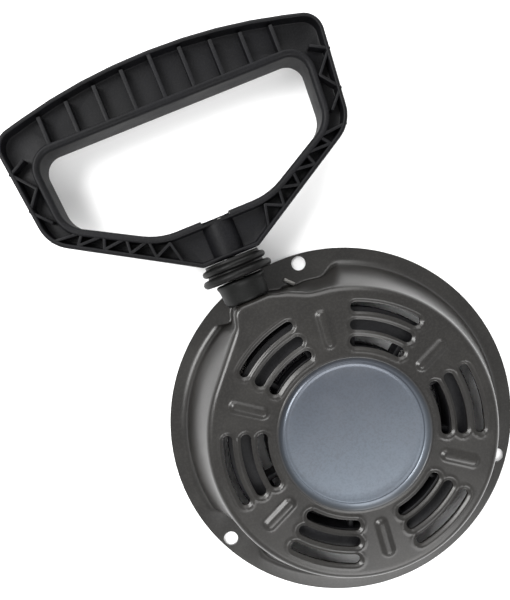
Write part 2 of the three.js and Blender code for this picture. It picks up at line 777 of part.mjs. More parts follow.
// Cross ribs of the top bar and the zig-zag ribs of both arms.
function handleRibs() {
  const ribs = [];
  for (let i = -4; i <= 4; i += 1) {
    ribs.push(ribBetween([i * 13.2, 67.6], [i * 13.2, 95.6]));
  }
  const outerEdge = (t) => [20 + 48 * t, 2.6 + 29 * t];
  const innerEdge = (t) => [18 + 41 * t, 17.6 + 18 * t];
  const steps = 5;
  for (const side of [1, -1]) {
    const place = ([u, v]) => [side * u, v];
    for (let i = 0; i < steps; i += 1) {
      const t = i / steps;
      ribs.push(ribBetween(place(outerEdge(t)), place(innerEdge(t + 0.5 / steps))));
      ribs.push(ribBetween(place(innerEdge(t + 0.5 / steps)), place(outerEdge(t + 1 / steps))));
    }
    ribs.push(ribBetween(place([60, 41.6]), place([73, 49.6])));
    ribs.push(ribBetween(place([60, 57.6]), place([73, 49.6])));
    ribs.push(ribBetween(place([60, 57.6]), place([74, 66.6])));
    ribs.push(ribBetween(place([58, 70.6]), place([76, 66.6])));
  }
  return union(ribs);
}

function makeHandle() {
  const outline = mirrored(outlineHalf);
  const grip = mirrored(gripHalf);
  const top = HANDLE_Z + HANDLE_T;
  let handle = solid(prism(filleted(outline), HANDLE_Z, top));
  handle = handle.subtract(solid(prism(filleted(grip), HANDLE_Z - 1, top + 1)));
  let pocket = solid(prism(filleted(inset(outline, HANDLE_RIM), deg(18)), 0, HANDLE_POCKET + 1));
  pocket = pocket.subtract(solid(prism(filleted(inset(grip, -HANDLE_RIM), deg(18)), -1, HANDLE_POCKET + 2)));
  pocket = pocket.subtract(handleRibs());
  pocket = pocket.subtract(solid(block(-BOSS_R, BOSS_R, -12.4, 20.6, -1, 20)));
  handle = handle.subtract(pocket.translate(0, 0, top - HANDLE_POCKET));
  handle = handle.subtract(pocket.translate(0, 0, HANDLE_Z - 1));
  const [recessU, recessZ] = KNOT_RECESS;
  const recessLow = ROPE_Z - recessZ / 2;
  const recess = block(-recessU / 2, recessU / 2, KNOT_SEAT, 22.6, recessLow, recessLow + recessZ);
  handle = handle.subtract(solid(recess));
  const bore = new THREE.CylinderGeometry(ROPE_R + 0.9, ROPE_R + 0.9, 20, 16).translate(0, 9, ROPE_Z);
  handle = handle.subtract(solid(bore));
  return geometryOf(handle).translate(0, handleFootV, 0).applyMatrix4(ropeFrame);
}

// A rope end tied in a knot, with the rope up to it.
function knot(centre, radius) {
  return new THREE.IcosahedronGeometry(radius, 1).translate(centre.x, centre.y, centre.z);
}

// ---------------------------------------------------------------- assembly
const starter = new THREE.Group();

function add(name, geometry, color, roughness, metalness) {
  const made = geometry.isBufferGeometry ? geometry : geometryOf(geometry);
  const material = new THREE.MeshStandardMaterial({ color, roughness, metalness });
  const mesh = new THREE.Mesh(made, material);
  mesh.name = name;
  starter.add(mesh);
}

const PAINT = 0x2a2826;
const PLASTIC = 0x242428;
const RUBBER = 0x1c1c1d;
const STEEL = 0xa8a8a8;
const NYLON = 0x3b3b3d;
const CORD = 0x5a5854;
const BRONZE = 0xb08a4a;

add("starter_case", makeCover(), PAINT, 0.35, 0.6);
add("rope_guide", makeGuide(), RUBBER, 0.6, 0);
add("guide_clip", makeClip(), STEEL, 0.4, 1);
add("centre_post", makePost(), STEEL, 0.4, 1);
add("centre_bolt", makeBolt(), STEEL, 0.35, 1);
add("thrust_washer", ring(BOLT_R + GAP, WASHER_R, washerZ[0], washerZ[1], 24), STEEL, 0.35, 1);
add("guide_sleeve", ring(BOLT_R + GAP, SLEEVE_R, washerZ[1], JOURNAL_FOOT_Z, 24), STEEL, 0.4, 1);
const frictionZ = [PLATE_Z[1] + 0.1, JOURNAL_FOOT_Z - 0.1];
add("friction_spring", ring(SLEEVE_R + 0.5, SLEEVE_R + 2.6, ...frictionZ, 24), STEEL, 0.4, 1);
add("rope_lead", ropeAlong(leadCurve(), 20, 8), CORD, 0.9, 0);

add("reel", makeReel(), NYLON, 0.5, 0);
const bushInner = JOURNAL_R + RUN;
const bush = ring(bushInner, bushInner + BUSH_WALL - 0.02, HUB_FOOT_Z, WEB_Z[1] - 0.1, 36);
add("hub_bush", bush, BRONZE, 0.4, 1);
const platedZ = SPRING_Z[1] + 0.3;
add("spring_cover", ring(ARBOR_R + 1, CHAMBER_R - 0.05, platedZ, platedZ + COVER_PLATE_T, 48), STEEL, 0.4, 1);
add("recoil_spring", makeSpring(), 0x6f7378, 0.35, 1);
add("rope_coil", ropeAlong(new WoundRope(), 120), CORD, 0.9, 0);
const knotAt = new THREE.Vector3(...polar(floorInnerR - reelKnotR, innerEnd.angle), innerEnd.z + 0.1);
add("rope_knot_reel", knot(knotAt, reelKnotR), CORD, 0.9, 0);
for (const [letter, turn] of [["a", 0], ["b", Math.PI]]) {
  const pin = disc(PIN_R, PLATE_Z[1] + GAP, WEB_Z[1], 16).translate(PIVOT_R, 0, 0);
  add("pawl_pin_" + letter, geometryOf(pin).rotateZ(turn), STEEL, 0.35, 1);
  add("pawl_spring_" + letter, makePawlSpring(turn), STEEL, 0.35, 1);
  add("pawl_" + letter, makePawl(turn), 0x8a8a88, 0.4, 1);
}
add("ratchet_guide", makePlate(), 0x9a9a98, 0.4, 1);

add("handle", makeHandle(), PLASTIC, 0.55, 0);
add("rope_bumper", makeBumper(), RUBBER, 0.7, 0);
const handleKnotR = 2 * ROPE_R;
const stubEnd = knotSeatV + 1.6;
const stub = new THREE.LineCurve3(
  ropePoint(0, bumperStart + 0.1, ROPE_Z),
  ropePoint(0, stubEnd, ROPE_Z),
);
add("rope_stub", ropeAlong(stub, 1, 8), CORD, 0.9, 0);
const washer = turnedOnRope(
  [
    [ROPE_R + GAP, knotSeatV],
    [5.6, knotSeatV],
    [5.6, knotSeatV + 1.2],
    [ROPE_R + GAP, knotSeatV + 1.2],
  ],
  20,
);
add("knot_washer", washer, STEEL, 0.4, 1);
add("rope_knot_handle", knot(ropePoint(0, stubEnd + 0.1 + handleKnotR, ROPE_Z), handleKnotR), CORD, 0.9, 0);

export default starter;
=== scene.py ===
"""Looks of the recoil starter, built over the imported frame. Sizes are in millimetres in the panel's
settings and in metres in the scene. The rope's frame: u across the rope, v along the pull."""

import math

import bmesh
import bpy
from bpy.props import FloatProperty, IntProperty, PointerProperty
from mathutils import Matrix, Vector


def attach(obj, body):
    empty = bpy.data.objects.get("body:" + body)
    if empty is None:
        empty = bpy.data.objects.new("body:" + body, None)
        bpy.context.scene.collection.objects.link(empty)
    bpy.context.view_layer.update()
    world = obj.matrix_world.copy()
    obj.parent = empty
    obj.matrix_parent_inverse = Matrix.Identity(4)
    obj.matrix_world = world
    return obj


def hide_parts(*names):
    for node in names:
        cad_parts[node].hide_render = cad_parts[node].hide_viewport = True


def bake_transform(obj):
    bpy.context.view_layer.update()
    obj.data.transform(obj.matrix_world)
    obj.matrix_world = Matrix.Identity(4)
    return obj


bl_info = {
    "name": "Recoil starter",
    "version": (1, 0, 0),
    "blender": (4, 5, 0),
    "location": "View3D > Sidebar > Starter",
    "description": "Builds the pieces of a pull-rope recoil starter over its packed frame",
    "category": "Object",
}

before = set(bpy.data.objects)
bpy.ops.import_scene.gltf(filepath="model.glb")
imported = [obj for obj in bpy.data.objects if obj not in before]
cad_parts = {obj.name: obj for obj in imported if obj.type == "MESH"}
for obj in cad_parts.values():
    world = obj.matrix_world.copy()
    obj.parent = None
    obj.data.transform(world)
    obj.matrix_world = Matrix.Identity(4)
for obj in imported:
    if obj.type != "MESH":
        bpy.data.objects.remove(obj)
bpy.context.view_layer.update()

MM = 0.001
TURN = 2 * math.pi
Z_TO_V = Matrix(((1, 0, 0, 0), (0, 0, 1, 0), (0, 1, 0, 0), (0, 0, 0, 1)))  # a prism's height along the rope


# ------------------------------------------------------------------ settings
class StarterRopeLine(bpy.types.PropertyGroup):
    """Where the rope leaves the cover"""

    tilt: FloatProperty(
        name="Tilt", description="Angle between the rope and +Y", default=math.radians(6.06), unit="ROTATION"
    )
    offset: FloatProperty(
        name="Offset", description="Distance of the rope's line from the reel's axis, in mm", default=-20.65
    )
    height: FloatProperty(name="Height", description="Height of the rope's line, in mm", default=17.0)
    radius: FloatProperty(name="Radius", description="Radius of the rope, in mm", default=2.0, min=0.5)


class StarterCover(bpy.types.PropertyGroup):
    """Sizes of the pressed cover"""

    flange_radius: FloatProperty(name="Flange radius", description="Outer radius, in mm", default=82.5)
    height: FloatProperty(name="Height", description="Height of the face, in mm", default=28.4)
    sheet: FloatProperty(name="Sheet", description="Thickness of the sheet, in mm", default=1.2)
    face_radius: FloatProperty(name="Face radius", description="Radius of the flat face, in mm", default=62.0)
    shoulder: FloatProperty(name="Shoulder", description="Outer radius of the shoulder, in mm", default=3.6)
    root: FloatProperty(name="Root", description="Radius at the foot of the wall, in mm", default=4.6)
    run: FloatProperty(name="Wall run", description="Shoulder centre to root centre, in mm", default=16.0)
    disc_depth: FloatProperty(name="Disc depth", description="Depth of the sunk disc, in mm", default=2.4)
    columns: IntProperty(name="Columns", description="Columns round the cover", default=432, min=48)


class StarterHandle(bpy.types.PropertyGroup):
    """Sizes of the D handle"""

    low: FloatProperty(name="Low", description="Height of the handle's underside, in mm", default=8.0)
    thickness: FloatProperty(name="Thickness", description="Thickness, in mm", default=18.0)
    rim: FloatProperty(name="Outer rim", description="Width of the outer rim, in mm", default=1.9)
    grip_rim: FloatProperty(name="Grip rim", description="Width of the grip's rim, in mm", default=3.2)
    pocket: FloatProperty(name="Pocket", description="Depth of the pockets, in mm", default=6.0)
    rib: FloatProperty(name="Rib", description="Thickness of the top ribs, in mm", default=1.8)
    strut: FloatProperty(name="Strut", description="Thickness of the arms' struts, in mm", default=1.3)
    boss: FloatProperty(name="Boss", description="Radius of the boss over the rope, in mm", default=7.25)


# ------------------------------------------------------------------ helpers
def take(*objs):
    if bpy.context.object and bpy.context.object.mode != "OBJECT":
        bpy.ops.object.mode_set(mode="OBJECT")
    bpy.ops.object.select_all(action="DESELECT")
    for obj in objs:
        obj.select_set(True)
    bpy.context.view_layer.objects.active = objs[0]
    return objs[0]


def edit(obj):
    take(obj)
    bpy.ops.object.mode_set(mode="EDIT")
    bpy.ops.mesh.select_all(action="SELECT")


def done():
    bpy.ops.object.mode_set(mode="OBJECT")


def from_data(name, points, edges=(), faces=()):
    mesh = bpy.data.meshes.new(name)
    mesh.from_pydata([tuple(p) for p in points], list(edges), list(faces))
    obj = bpy.data.objects.new(name, mesh)
    bpy.context.scene.collection.objects.link(obj)
    return obj


def modify(obj, kind, **settings):
    take(obj)
    modifier = obj.modifiers.new(kind.title(), kind)
    for key, value in settings.items():
        setattr(modifier, key, value)
    bpy.ops.object.modifier_apply(modifier=modifier.name)
    return obj


def cut(obj, tool, operation="DIFFERENCE", crossing=False):
    modify(obj, "BOOLEAN", operation=operation, object=tool, solver="EXACT", use_self=crossing)
    bpy.data.objects.remove(tool)
    return obj


def join(first, *others):
    take(first, *others)
    bpy.ops.object.join()
    return first


def tidy_normals(obj, merge=0.00001):
    edit(obj)
    if merge:
        bpy.ops.mesh.remove_doubles(threshold=merge)
    bpy.ops.mesh.normals_make_consistent(inside=False)
    done()
    return obj


def shade(obj, angle=35):
    take(obj)
    bpy.ops.object.shade_smooth_by_angle(angle=math.radians(angle))
    return obj


def settle(obj, name, body, material, nodes):
    """Last steps of every piece: name, material, body it moves with and the nodes it stands for."""
    take(obj)
    bpy.ops.object.transform_apply(location=True, rotation=True, scale=True)
    obj.name = name
    obj.data.name = name
    obj.data.materials.clear()
    obj.data.materials.append(material)
    if len(obj.data.polygons) == 0:
        raise RuntimeError(name + " has no faces")
    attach(obj, body)
    if nodes:
        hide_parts(*nodes)
    return obj


def rope_matrix(context, along_z=False):
    """Local u, v, z to the part's frame. With along_z, a turned piece's own axis becomes the rope's line."""
    line = context.scene.starter_rope
    across = Vector((math.cos(line.tilt), math.sin(line.tilt), 0))
    along = Vector((-math.sin(line.tilt), math.cos(line.tilt), 0))
    up = Vector((0, 0, 1))
    place = across * line.offset * MM
    if along_z:
        columns = (across, -up, along)
        place = place + up * line.height * MM
    else:
        columns = (across, along, up)
    return Matrix.Translation(place) @ Matrix(columns).transposed().to_4x4()


def arc(centre, radius, start, end, steps):
    """Points of an arc, angles in degrees."""
    found = []
    for i in range(steps + 1):
        a = math.radians(start + (end - start) * i / steps)
        found.append((centre[0] + radius * math.cos(a), centre[1] + radius * math.sin(a)))
    return found


def turned(name, profile, steps=96, place=None, closed=True):
    """Spins a profile of (radius, height) pairs in mm about the local Z axis."""
    points = [(r * MM, 0, z * MM) for r, z in profile]
    count = len(points)
    edges = [(i, i + 1) for i in range(count - 1)]
    if closed:
        edges.append((count - 1, 0))
    obj = from_data(name, points, edges)
    edit(obj)
    bpy.ops.mesh.spin(steps=steps, angle=TURN, center=(0, 0, 0), axis=(0, 0, 1))
    bpy.ops.mesh.select_all(action="SELECT")
    bpy.ops.mesh.remove_doubles(threshold=0.000002)
    bpy.ops.mesh.normals_make_consistent(inside=False)
    done()
    if place is not None:
        obj.data.transform(place)
    return obj


def cylinder(radius, low, high, sides=48, at=(0, 0), place=None):
    fresh()
    bpy.ops.mesh.primitive_cylinder_add(
        vertices=sides,
        radius=radius * MM,
        depth=(high - low) * MM,
        location=(at[0] * MM, at[1] * MM, (low + high) / 2 * MM),
    )
    return placed(place)


def box(low, high):
    fresh()
    size = [(high[i] - low[i]) * MM for i in range(3)]
    middle = [(high[i] + low[i]) / 2 * MM for i in range(3)]
    bpy.ops.mesh.primitive_cube_add(size=1, location=middle, scale=size)
    return placed(None)


def fresh():
    if bpy.context.object and bpy.context.object.mode != "OBJECT":
        bpy.ops.object.mode_set(mode="OBJECT")
    bpy.ops.object.select_all(action="DESELECT")


def placed(place):
    obj = bpy.context.object
    bpy.ops.object.transform_apply(location=True, rotation=True, scale=True)
    if place is not None:
        obj.data.transform(place)
    return obj


def prism(outline, low, high, place=None):
    """A closed outline in mm, filled and pulled up with the extrude tool."""
    count = len(outline)
    points = [(x * MM, y * MM, low * MM) for x, y in outline]
    obj = from_data("prism", points, [], [tuple(range(count))])
    edit(obj)
    bpy.ops.mesh.extrude_region_move(TRANSFORM_OT_translate={"value": (0, 0, (high - low) * MM)})
    bpy.ops.mesh.select_all(action="SELECT")
    bpy.ops.mesh.normals_make_consistent(inside=False)
    done()
    if place is not None:
        obj.data.transform(place)
    return obj


def tube(name, path, radius, sides=12):
    """A round cord along points in mm, with its own length and girth as UV, in metres."""
    points = [Vector(p) * MM for p in path]
    count = len(points)
    tangents = []
    for i in range(count):
        before = points[max(i - 1, 0)]
        after = points[min(i + 1, count - 1)]
        tangents.append((after - before).normalized())
    side = tangents[0].orthogonal().normalized()
    verts = []
    lengths = [0.0]
    for i in range(count):
        if i:
            turn = tangents[i - 1].rotation_difference(tangents[i])
            side = (turn @ side).normalized()
            lengths.append(lengths[-1] + (points[i] - points[i - 1]).length)
        other = tangents[i].cross(side).normalized()
        for k in range(sides):
            a = TURN * k / sides
            verts.append(points[i] + (side * math.cos(a) + other * math.sin(a)) * radius * MM)
    faces = []
    for i in range(count - 1):
        for k in range(sides):
            n = (k + 1) % sides
            faces.append((i * sides + k, i * sides + n, (i + 1) * sides + n, (i + 1) * sides + k))
    faces.append(tuple(reversed(range(sides))))
    faces.append(tuple((count - 1) * sides + k for k in range(sides)))
    obj = from_data(name, verts, [], faces)
    layer = obj.data.uv_layers.new(name="Lay")
    index = 0
    for face in obj.data.polygons:
        for corner, vertex in enumerate(face.vertices):
            i, k = divmod(vertex, sides)
            wrap = 1.0 if k == 0 and len(face.vertices) == 4 and corner in (1, 2) else 0.0
            across = (k / sides + wrap) * TURN * radius * MM
            layer.data[index].uv = (lengths[i], across)
            index += 1
    return obj


# ------------------------------------------------------------------ shader groups
def socket(group, name, kind, direction, default=None):
    made = group.interface.new_socket(name=name, in_out=direction, socket_type=kind)
    if default is not None:
        made.default_value = default
    return made


def group_nodes(name):
    group = bpy.data.node_groups.new(name, "ShaderNodeTree")
    start = group.nodes.new("NodeGroupInput")
    end = group.nodes.new("NodeGroupOutput")
    return group, start, end


def node(tree, kind, links=(), **settings):
    made = tree.nodes.new(kind)
    for key, value in settings.items():
        setattr(made, key, value)
    for key, value in links:
        if isinstance(value, bpy.types.NodeSocket):
            tree.links.new(value, made.inputs[key])
        else:
            made.inputs[key].default_value = value
    return made


def ramp(tree, value, low, high, out_low=0.0, out_high=1.0):
    made = node(
        tree,
        "ShaderNodeMapRange",
        [("Value", value), ("From Min", low), ("From Max", high), ("To Min", out_low), ("To Max", out_high)],
        interpolation_type="SMOOTHSTEP",
    )
    return made.outputs["Result"]


def noise(tree, vector, scale, detail=3.0, rough=0.5):
    made = node(
        tree,
        "ShaderNodeTexNoise",
        [("Vector", vector), ("Scale", scale), ("Detail", detail), ("Roughness", rough)],
    )
    return made.outputs["Fac"]


def math_node(tree, operation, a, b=None, clamp=False):
    made = tree.nodes.new("ShaderNodeMath")
    made.operation = operation
    made.use_clamp = clamp
    for i, value in enumerate((a, b)):
        if value is None:
            continue
        if isinstance(value, bpy.types.NodeSocket):
            tree.links.new(value, made.inputs[i])
        else:
            made.inputs[i].default_value = value
    return made.outputs[0]


def mix_colors(tree, factor, a, b):
    made = tree.nodes.new("ShaderNodeMix")
    made.data_type = "RGBA"
    for index, value in ((0, factor), (6, a), (7, b)):
        if isinstance(value, bpy.types.NodeSocket):
            tree.links.new(value, made.inputs[index])
        else:
            made.inputs[index].default_value = value
    return made.outputs[2]


def make_grain_group():
    """Fine moulded or sprayed grain: a height for Bump and a speckle mask."""
    group, start, end = group_nodes("Starter grain")
    socket(group, "Vector", "NodeSocketVector", "INPUT")
    socket(group, "Scale", "NodeSocketFloat", "INPUT", 1800.0)
    socket(group, "Wave", "NodeSocketFloat", "INPUT", 0.3)
    socket(group, "Height", "NodeSocketFloat", "OUTPUT")
    socket(group, "Speckle", "NodeSocketFloat", "OUTPUT")
    fine = noise(group, start.outputs["Vector"], 1800.0, 2.0, 0.6)
    group.links.new(start.outputs["Scale"], fine.node.inputs["Scale"])
    broad_scale = math_node(group, "MULTIPLY", start.outputs["Scale"], 0.06)
    broad = noise(group, start.outputs["Vector"], 100.0, 3.0, 0.5)
    group.links.new(broad_scale, broad.node.inputs["Scale"])
    weighted = math_node(group, "MULTIPLY", broad, start.outputs["Wave"])
    group.links.new(math_node(group, "ADD", fine, weighted), end.inputs["Height"])
    group.links.new(ramp(group, fine, 0.42, 0.66), end.inputs["Speckle"])
    return group


def make_wear_group():
    """Handling marks: broad patches and small nicks, as masks."""
    group, start, end = group_nodes("Starter wear")
    socket(group, "Vector", "NodeSocketVector", "INPUT")
    socket(group, "Patches", "NodeSocketFloat", "OUTPUT")
    socket(group, "Nicks", "NodeSocketFloat", "OUTPUT")
    patches = noise(group, start.outputs["Vector"], 38.0, 4.0, 0.6)
    group.links.new(ramp(group, patches, 0.35, 0.7), end.inputs["Patches"])
    cells = node(
        group,
        "ShaderNodeTexVoronoi",
        [("Vector", start.outputs["Vector"]), ("Scale", 160.0)],
    )
    near = ramp(group, cells.outputs["Distance"], 0.05, 0.09, 1.0, 0.0)
    rare = ramp(group, noise(group, start.outputs["Vector"], 60.0, 1.0), 0.6, 0.68)
    group.links.new(math_node(group, "MULTIPLY", near, rare), end.inputs["Nicks"])
    return group


def make_braid_group():
    """Two sets of strands that cross, from a cord's length and girth."""
    group, start, end = group_nodes("Starter braid")
    socket(group, "Vector", "NodeSocketVector", "INPUT")
    socket(group, "Pitch", "NodeSocketFloat", "INPUT", 0.0032)
    socket(group, "Height", "NodeSocketFloat", "OUTPUT")
    split = node(group, "ShaderNodeSeparateXYZ", [("Vector", start.outputs["Vector"])])
    along = math_node(group, "DIVIDE", split.outputs["X"], start.outputs["Pitch"])
    across = math_node(group, "DIVIDE", split.outputs["Y"], start.outputs["Pitch"])
    heights = []
    for sign in ("ADD", "SUBTRACT"):
        slanted = math_node(group, sign, along, across)
        wave = math_node(group, "SINE", math_node(group, "MULTIPLY", slanted, TURN))
        heights.append(math_node(group, "ABSOLUTE", wave))
    crossing = math_node(group, "MULTIPLY", heights[0], heights[1])
    group.links.new(math_node(group, "POWER", crossing, 0.5), end.inputs["Height"])
    return group


GROUPS = {}


def groups():
    if not GROUPS:
        GROUPS["grain"] = make_grain_group()
        GROUPS["wear"] = make_wear_group()
        GROUPS["braid"] = make_braid_group()
    return GROUPS


PATCH_ROUGHNESS = 0.12
CORD_LIGHT = (0.3, 0.29, 0.27, 1)
CORD_SHADE = (0.1, 0.098, 0.09, 1)


def material(name, color, second, rough, metal, grain, bump, shine=0.5):
    """Principled material with grain, patches and nicks; color and second are linear RGB."""
    made = bpy.data.materials.new(name)
    made.use_nodes = True
    tree = made.node_tree
    shader = tree.nodes["Principled BSDF"]
    where = node(tree, "ShaderNodeTexCoord").outputs["Object"]
    fine = node(tree, "ShaderNodeGroup", node_tree=groups()["grain"])
    tree.links.new(where, fine.inputs["Vector"])
    fine.inputs["Scale"].default_value = grain
    worn = node(tree, "ShaderNodeGroup", node_tree=groups()["wear"])
    tree.links.new(where, worn.inputs["Vector"])
    base = mix_colors(tree, worn.outputs["Patches"], (*color, 1), (*second, 1))
    speck = math_node(tree, "MULTIPLY", fine.outputs["Speckle"], 0.25)
    light = tuple(min(1.0, c * 1.6 + 0.01) for c in second)
    base = mix_colors(tree, speck, base, (*light, 1))
    nick = math_node(tree, "MULTIPLY", worn.outputs["Nicks"], 0.5 if metal else 0.0)
    base = mix_colors(tree, nick, base, (0.35, 0.35, 0.35, 1))
    tree.links.new(base, shader.inputs["Base Color"])
    shift = math_node(tree, "MULTIPLY", worn.outputs["Patches"], PATCH_ROUGHNESS)
    roughness = math_node(tree, "ADD", shift, rough, clamp=True)
    tree.links.new(roughness, shader.inputs["Roughness"])
    shader.inputs["Metallic"].default_value = metal
    shader.inputs["Specular IOR Level"].default_value = shine
    relief = node(
        tree,
        "ShaderNodeBump",
        [("Height", fine.outputs["Height"]), ("Strength", bump), ("Distance", 0.0002)],
    )
    tree.links.new(relief.outputs["Normal"], shader.inputs["Normal"])
    return made


def cord_material(name, uv):
    """Braid from the cord's own UV, or from the object's coordinates where it is knotted."""
    made = bpy.data.materials.new(name)
    made.use_nodes = True
    tree = made.node_tree
    shader = tree.nodes["Principled BSDF"]
    if uv:
        where = node(tree, "ShaderNodeUVMap", uv_map="Lay").outputs["UV"]
    else:
        where = node(tree, "ShaderNodeTexCoord").outputs["Object"]
    braid = node(tree, "ShaderNodeGroup", node_tree=groups()["braid"])
    tree.links.new(where, braid.inputs["Vector"])
    fuzz = noise(tree, where, 4000.0, 2.0)
    shadowed = mix_colors(tree, braid.outputs["Height"], CORD_SHADE, CORD_LIGHT)
    flecked = mix_colors(tree, math_node(tree, "MULTIPLY", fuzz, 0.3), shadowed, CORD_LIGHT)
    tree.links.new(flecked, shader.inputs["Base Color"])
    tree.links.new(ramp(tree, fuzz, 0.3, 0.7, 0.8, 0.95), shader.inputs["Roughness"])
    relief = node(
        tree,
        "ShaderNodeBump",
        [("Height", braid.outputs["Height"]), ("Strength", 0.6), ("Distance", 0.0005)],
    )
    tree.links.new(relief.outputs["Normal"], shader.inputs["Normal"])
    return made


# Name, color, second color, roughness, metallic, grain scale, bump strength, specular level.
LOOKS = {
    "handle": ("Handle plastic", (0.002, 0.002, 0.0024), (0.0036, 0.0036, 0.0046), 0.45, 0, 1500, 0.3, 0.13),
    "guide": ("Guide nylon", (0.002, 0.0022, 0.002), (0.0032, 0.0034, 0.0032), 0.4, 0, 2200, 0.15, 0.16),
    "rubber": ("Bumper rubber", (0.0016, 0.0016, 0.0015), (0.0026, 0.0026, 0.0024), 0.42, 0, 1900, 0.2, 0.14),
    "reel": ("Reel nylon", (0.004, 0.004, 0.0045), (0.0065, 0.0065, 0.0075), 0.4, 0, 1400, 0.2, 0.2),
    "steel": ("Bright steel", (0.42, 0.42, 0.41), (0.33, 0.33, 0.33), 0.3, 1, 1200, 0.1),
    "zinc": ("Zinc plate", (0.5, 0.49, 0.44), (0.4, 0.4, 0.38), 0.36, 1, 900, 0.12),
    "spring": ("Spring steel", (0.14, 0.15, 0.17), (0.2, 0.21, 0.22), 0.32, 1, 1500, 0.08),
    "sinter": ("Sintered steel", (0.24, 0.235, 0.22), (0.31, 0.3, 0.29), 0.5, 1, 1600, 0.4),
    "bronze": ("Oil bronze", (0.38, 0.24, 0.1), (0.3, 0.2, 0.09), 0.42, 1, 1500, 0.3),
}
MATERIALS = {}


def look(key):
    """The materials by key, each made once."""
    if key not in MATERIALS:
        if key == "paint":
            MATERIALS[key] = cover_material()
        elif key == "rope":
            MATERIALS[key] = cord_material("Braided rope", uv=True)
        elif key == "knot":
            MATERIALS[key] = cord_material("Knotted rope", uv=False)
        else:
            MATERIALS[key] = material(*LOOKS[key])
    return MATERIALS[key]


def cover_material():
    """Sprayed semi-gloss paint; the sunk disc is bluish grey, with a painted reflection that makes it paler
    towards -Y.
    """
    made = bpy.data.materials.new("Cover paint")
    made.use_nodes = True
    tree = made.node_tree
    shader = tree.nodes["Principled BSDF"]
    where = node(tree, "ShaderNodeTexCoord").outputs["Object"]
    fine = node(tree, "ShaderNodeGroup", node_tree=groups()["grain"])
    tree.links.new(where, fine.inputs["Vector"])
    fine.inputs["Scale"].default_value = 1100.0
    worn = node(tree, "ShaderNodeGroup", node_tree=groups()["wear"])
    tree.links.new(where, worn.inputs["Vector"])
    split = node(tree, "ShaderNodeSeparateXYZ", [("Vector", where)])
    squares = [math_node(tree, "MULTIPLY", split.outputs[a], split.outputs[a]) for a in ("X", "Y")]
    radius = math_node(tree, "SQRT", math_node(tree, "ADD", squares[0], squares[1]))
    in_disc = ramp(tree, radius, 0.0312, 0.0348, 1.0, 0.0)
    above = ramp(tree, split.outputs["Z"], 0.0235, 0.0252)
    disc = math_node(tree, "MULTIPLY", in_disc, above)
    dark = mix_colors(tree, worn.outputs["Patches"], (0.0085, 0.0077, 0.007, 1), (0.0125, 0.0115, 0.0102, 1))
    # Painted reflection: the disc's colour goes from darker at +Y to paler and bluer at -Y.
    reflection_fall = ramp(tree, split.outputs["Y"], 0.03, -0.03)
    disc_reflection_tone = mix_colors(tree, reflection_fall, (0.064, 0.073, 0.09, 1), (0.118, 0.138, 0.165, 1))
    cloud = math_node(tree, "MULTIPLY", worn.outputs["Patches"], 0.5)
    cloudy = mix_colors(tree, cloud, disc_reflection_tone, (0.082, 0.09, 0.106, 1))
    base = mix_colors(tree, disc, dark, cloudy)
    speck = math_node(tree, "MULTIPLY", fine.outputs["Speckle"], 0.18)
    base = mix_colors(tree, speck, base, (0.04, 0.0385, 0.036, 1))
    tree.links.new(base, shader.inputs["Base Color"])
    shift = math_node(tree, "MULTIPLY", worn.outputs["Patches"], 0.08)
    tree.links.new(math_node(tree, "ADD", shift, 0.29), shader.inputs["Roughness"])
    bare = math_node(tree, "MULTIPLY", disc, 0.55)
    tree.links.new(math_node(tree, "MAXIMUM", bare, 0.25), shader.inputs["Metallic"])
    shader.inputs["Coat Weight"].default_value = 0.12
    shader.inputs["Coat Roughness"].default_value = 0.16
    shader.inputs["Specular IOR Level"].default_value = 0.42
    relief = node(
        tree,
        "ShaderNodeBump",
        [("Height", fine.outputs["Height"]), ("Strength", 0.05), ("Distance", 0.0002)],
    )
    tree.links.new(relief.outputs["Normal"], shader.inputs["Normal"])
    return made


# ------------------------------------------------------------------ cover
SLOTS = ((38.5, 4.7), (45.8, 4.7), (54.0, 4.2))
SLOT_HALF = math.radians(14.2)
POCKET_ANGLES = (90.0, 210.0, 330.0)
HOLE_CIRCLE = 78.15
HOLE_RADIUS = 3.4
FACE_RING = 61.2  # where the flat band round the slots ends, mm
SPOUT_SHOULDER = 2.3
SPOUT_RUN = 3.7
SPOUT_ROOT = 1.4
SPOUT_NEAR = 66.2  # from the axis: beyond this the face is the spout's
PAD_FOOT = 70.3  # from the axis: foot of the wall at a bolt
PAD_ROOT = 1.3
PAD_HALF = 13.5  # degrees from a bolt to where its pad ends
PAD_BLEND = 7.0  # degrees over which the wall comes back to full run
SPOUT_SIDE = (100, 121)  # degrees between which the wall is short beside the spout
SPOUT_BLEND = (112.0, 9.0)  # degrees: where it starts to widen, and over how much

# Corners of the face's edge round the spout, as (u, v, fillet), from right to left.
SPOUT_CORNERS = (
    (15.5, 66.2, 9.0),
    (8.4, 69.2, 2.6),
    (-6.4, 69.2, 2.4),
    (-8.6, 60.8, 13.0),
)


def smoothstep(t):
    t = min(1.0, max(0.0, t))
    return t * t * (3 - 2 * t)


def filleted(corners, step=12.0, closed=True):
    """Points of an outline with round corners; corners are (x, y, radius), turning either way."""
    found = []
    count = len(corners)
    for i, (x, y, radius) in enumerate(corners):
        here = Vector((x, y))
        if not closed and i in (0, count - 1):
            found.append(here)
            continue
        before = Vector(corners[i - 1][:2])
        after = Vector(corners[(i + 1) % count][:2])
        a = (here - before).normalized()
        b = (after - here).normalized()
        turn = math.atan2(a.x * b.y - a.y * b.x, a.dot(b))
        side = 1 if turn > 0 else -1
        start = here - a * radius * math.tan(abs(turn) / 2)
        centre = start + Vector((-a.y, a.x)) * radius * side
        spoke = start - centre
        first = math.atan2(spoke.y, spoke.x)
        steps = max(4 if radius > 100 else 1, math.ceil(abs(math.degrees(turn)) / step - 0.001))
        for k in range(steps + 1):
            angle = first + turn * k / steps
            found.append(centre + Vector((math.cos(angle), math.sin(angle))) * radius)
    return found


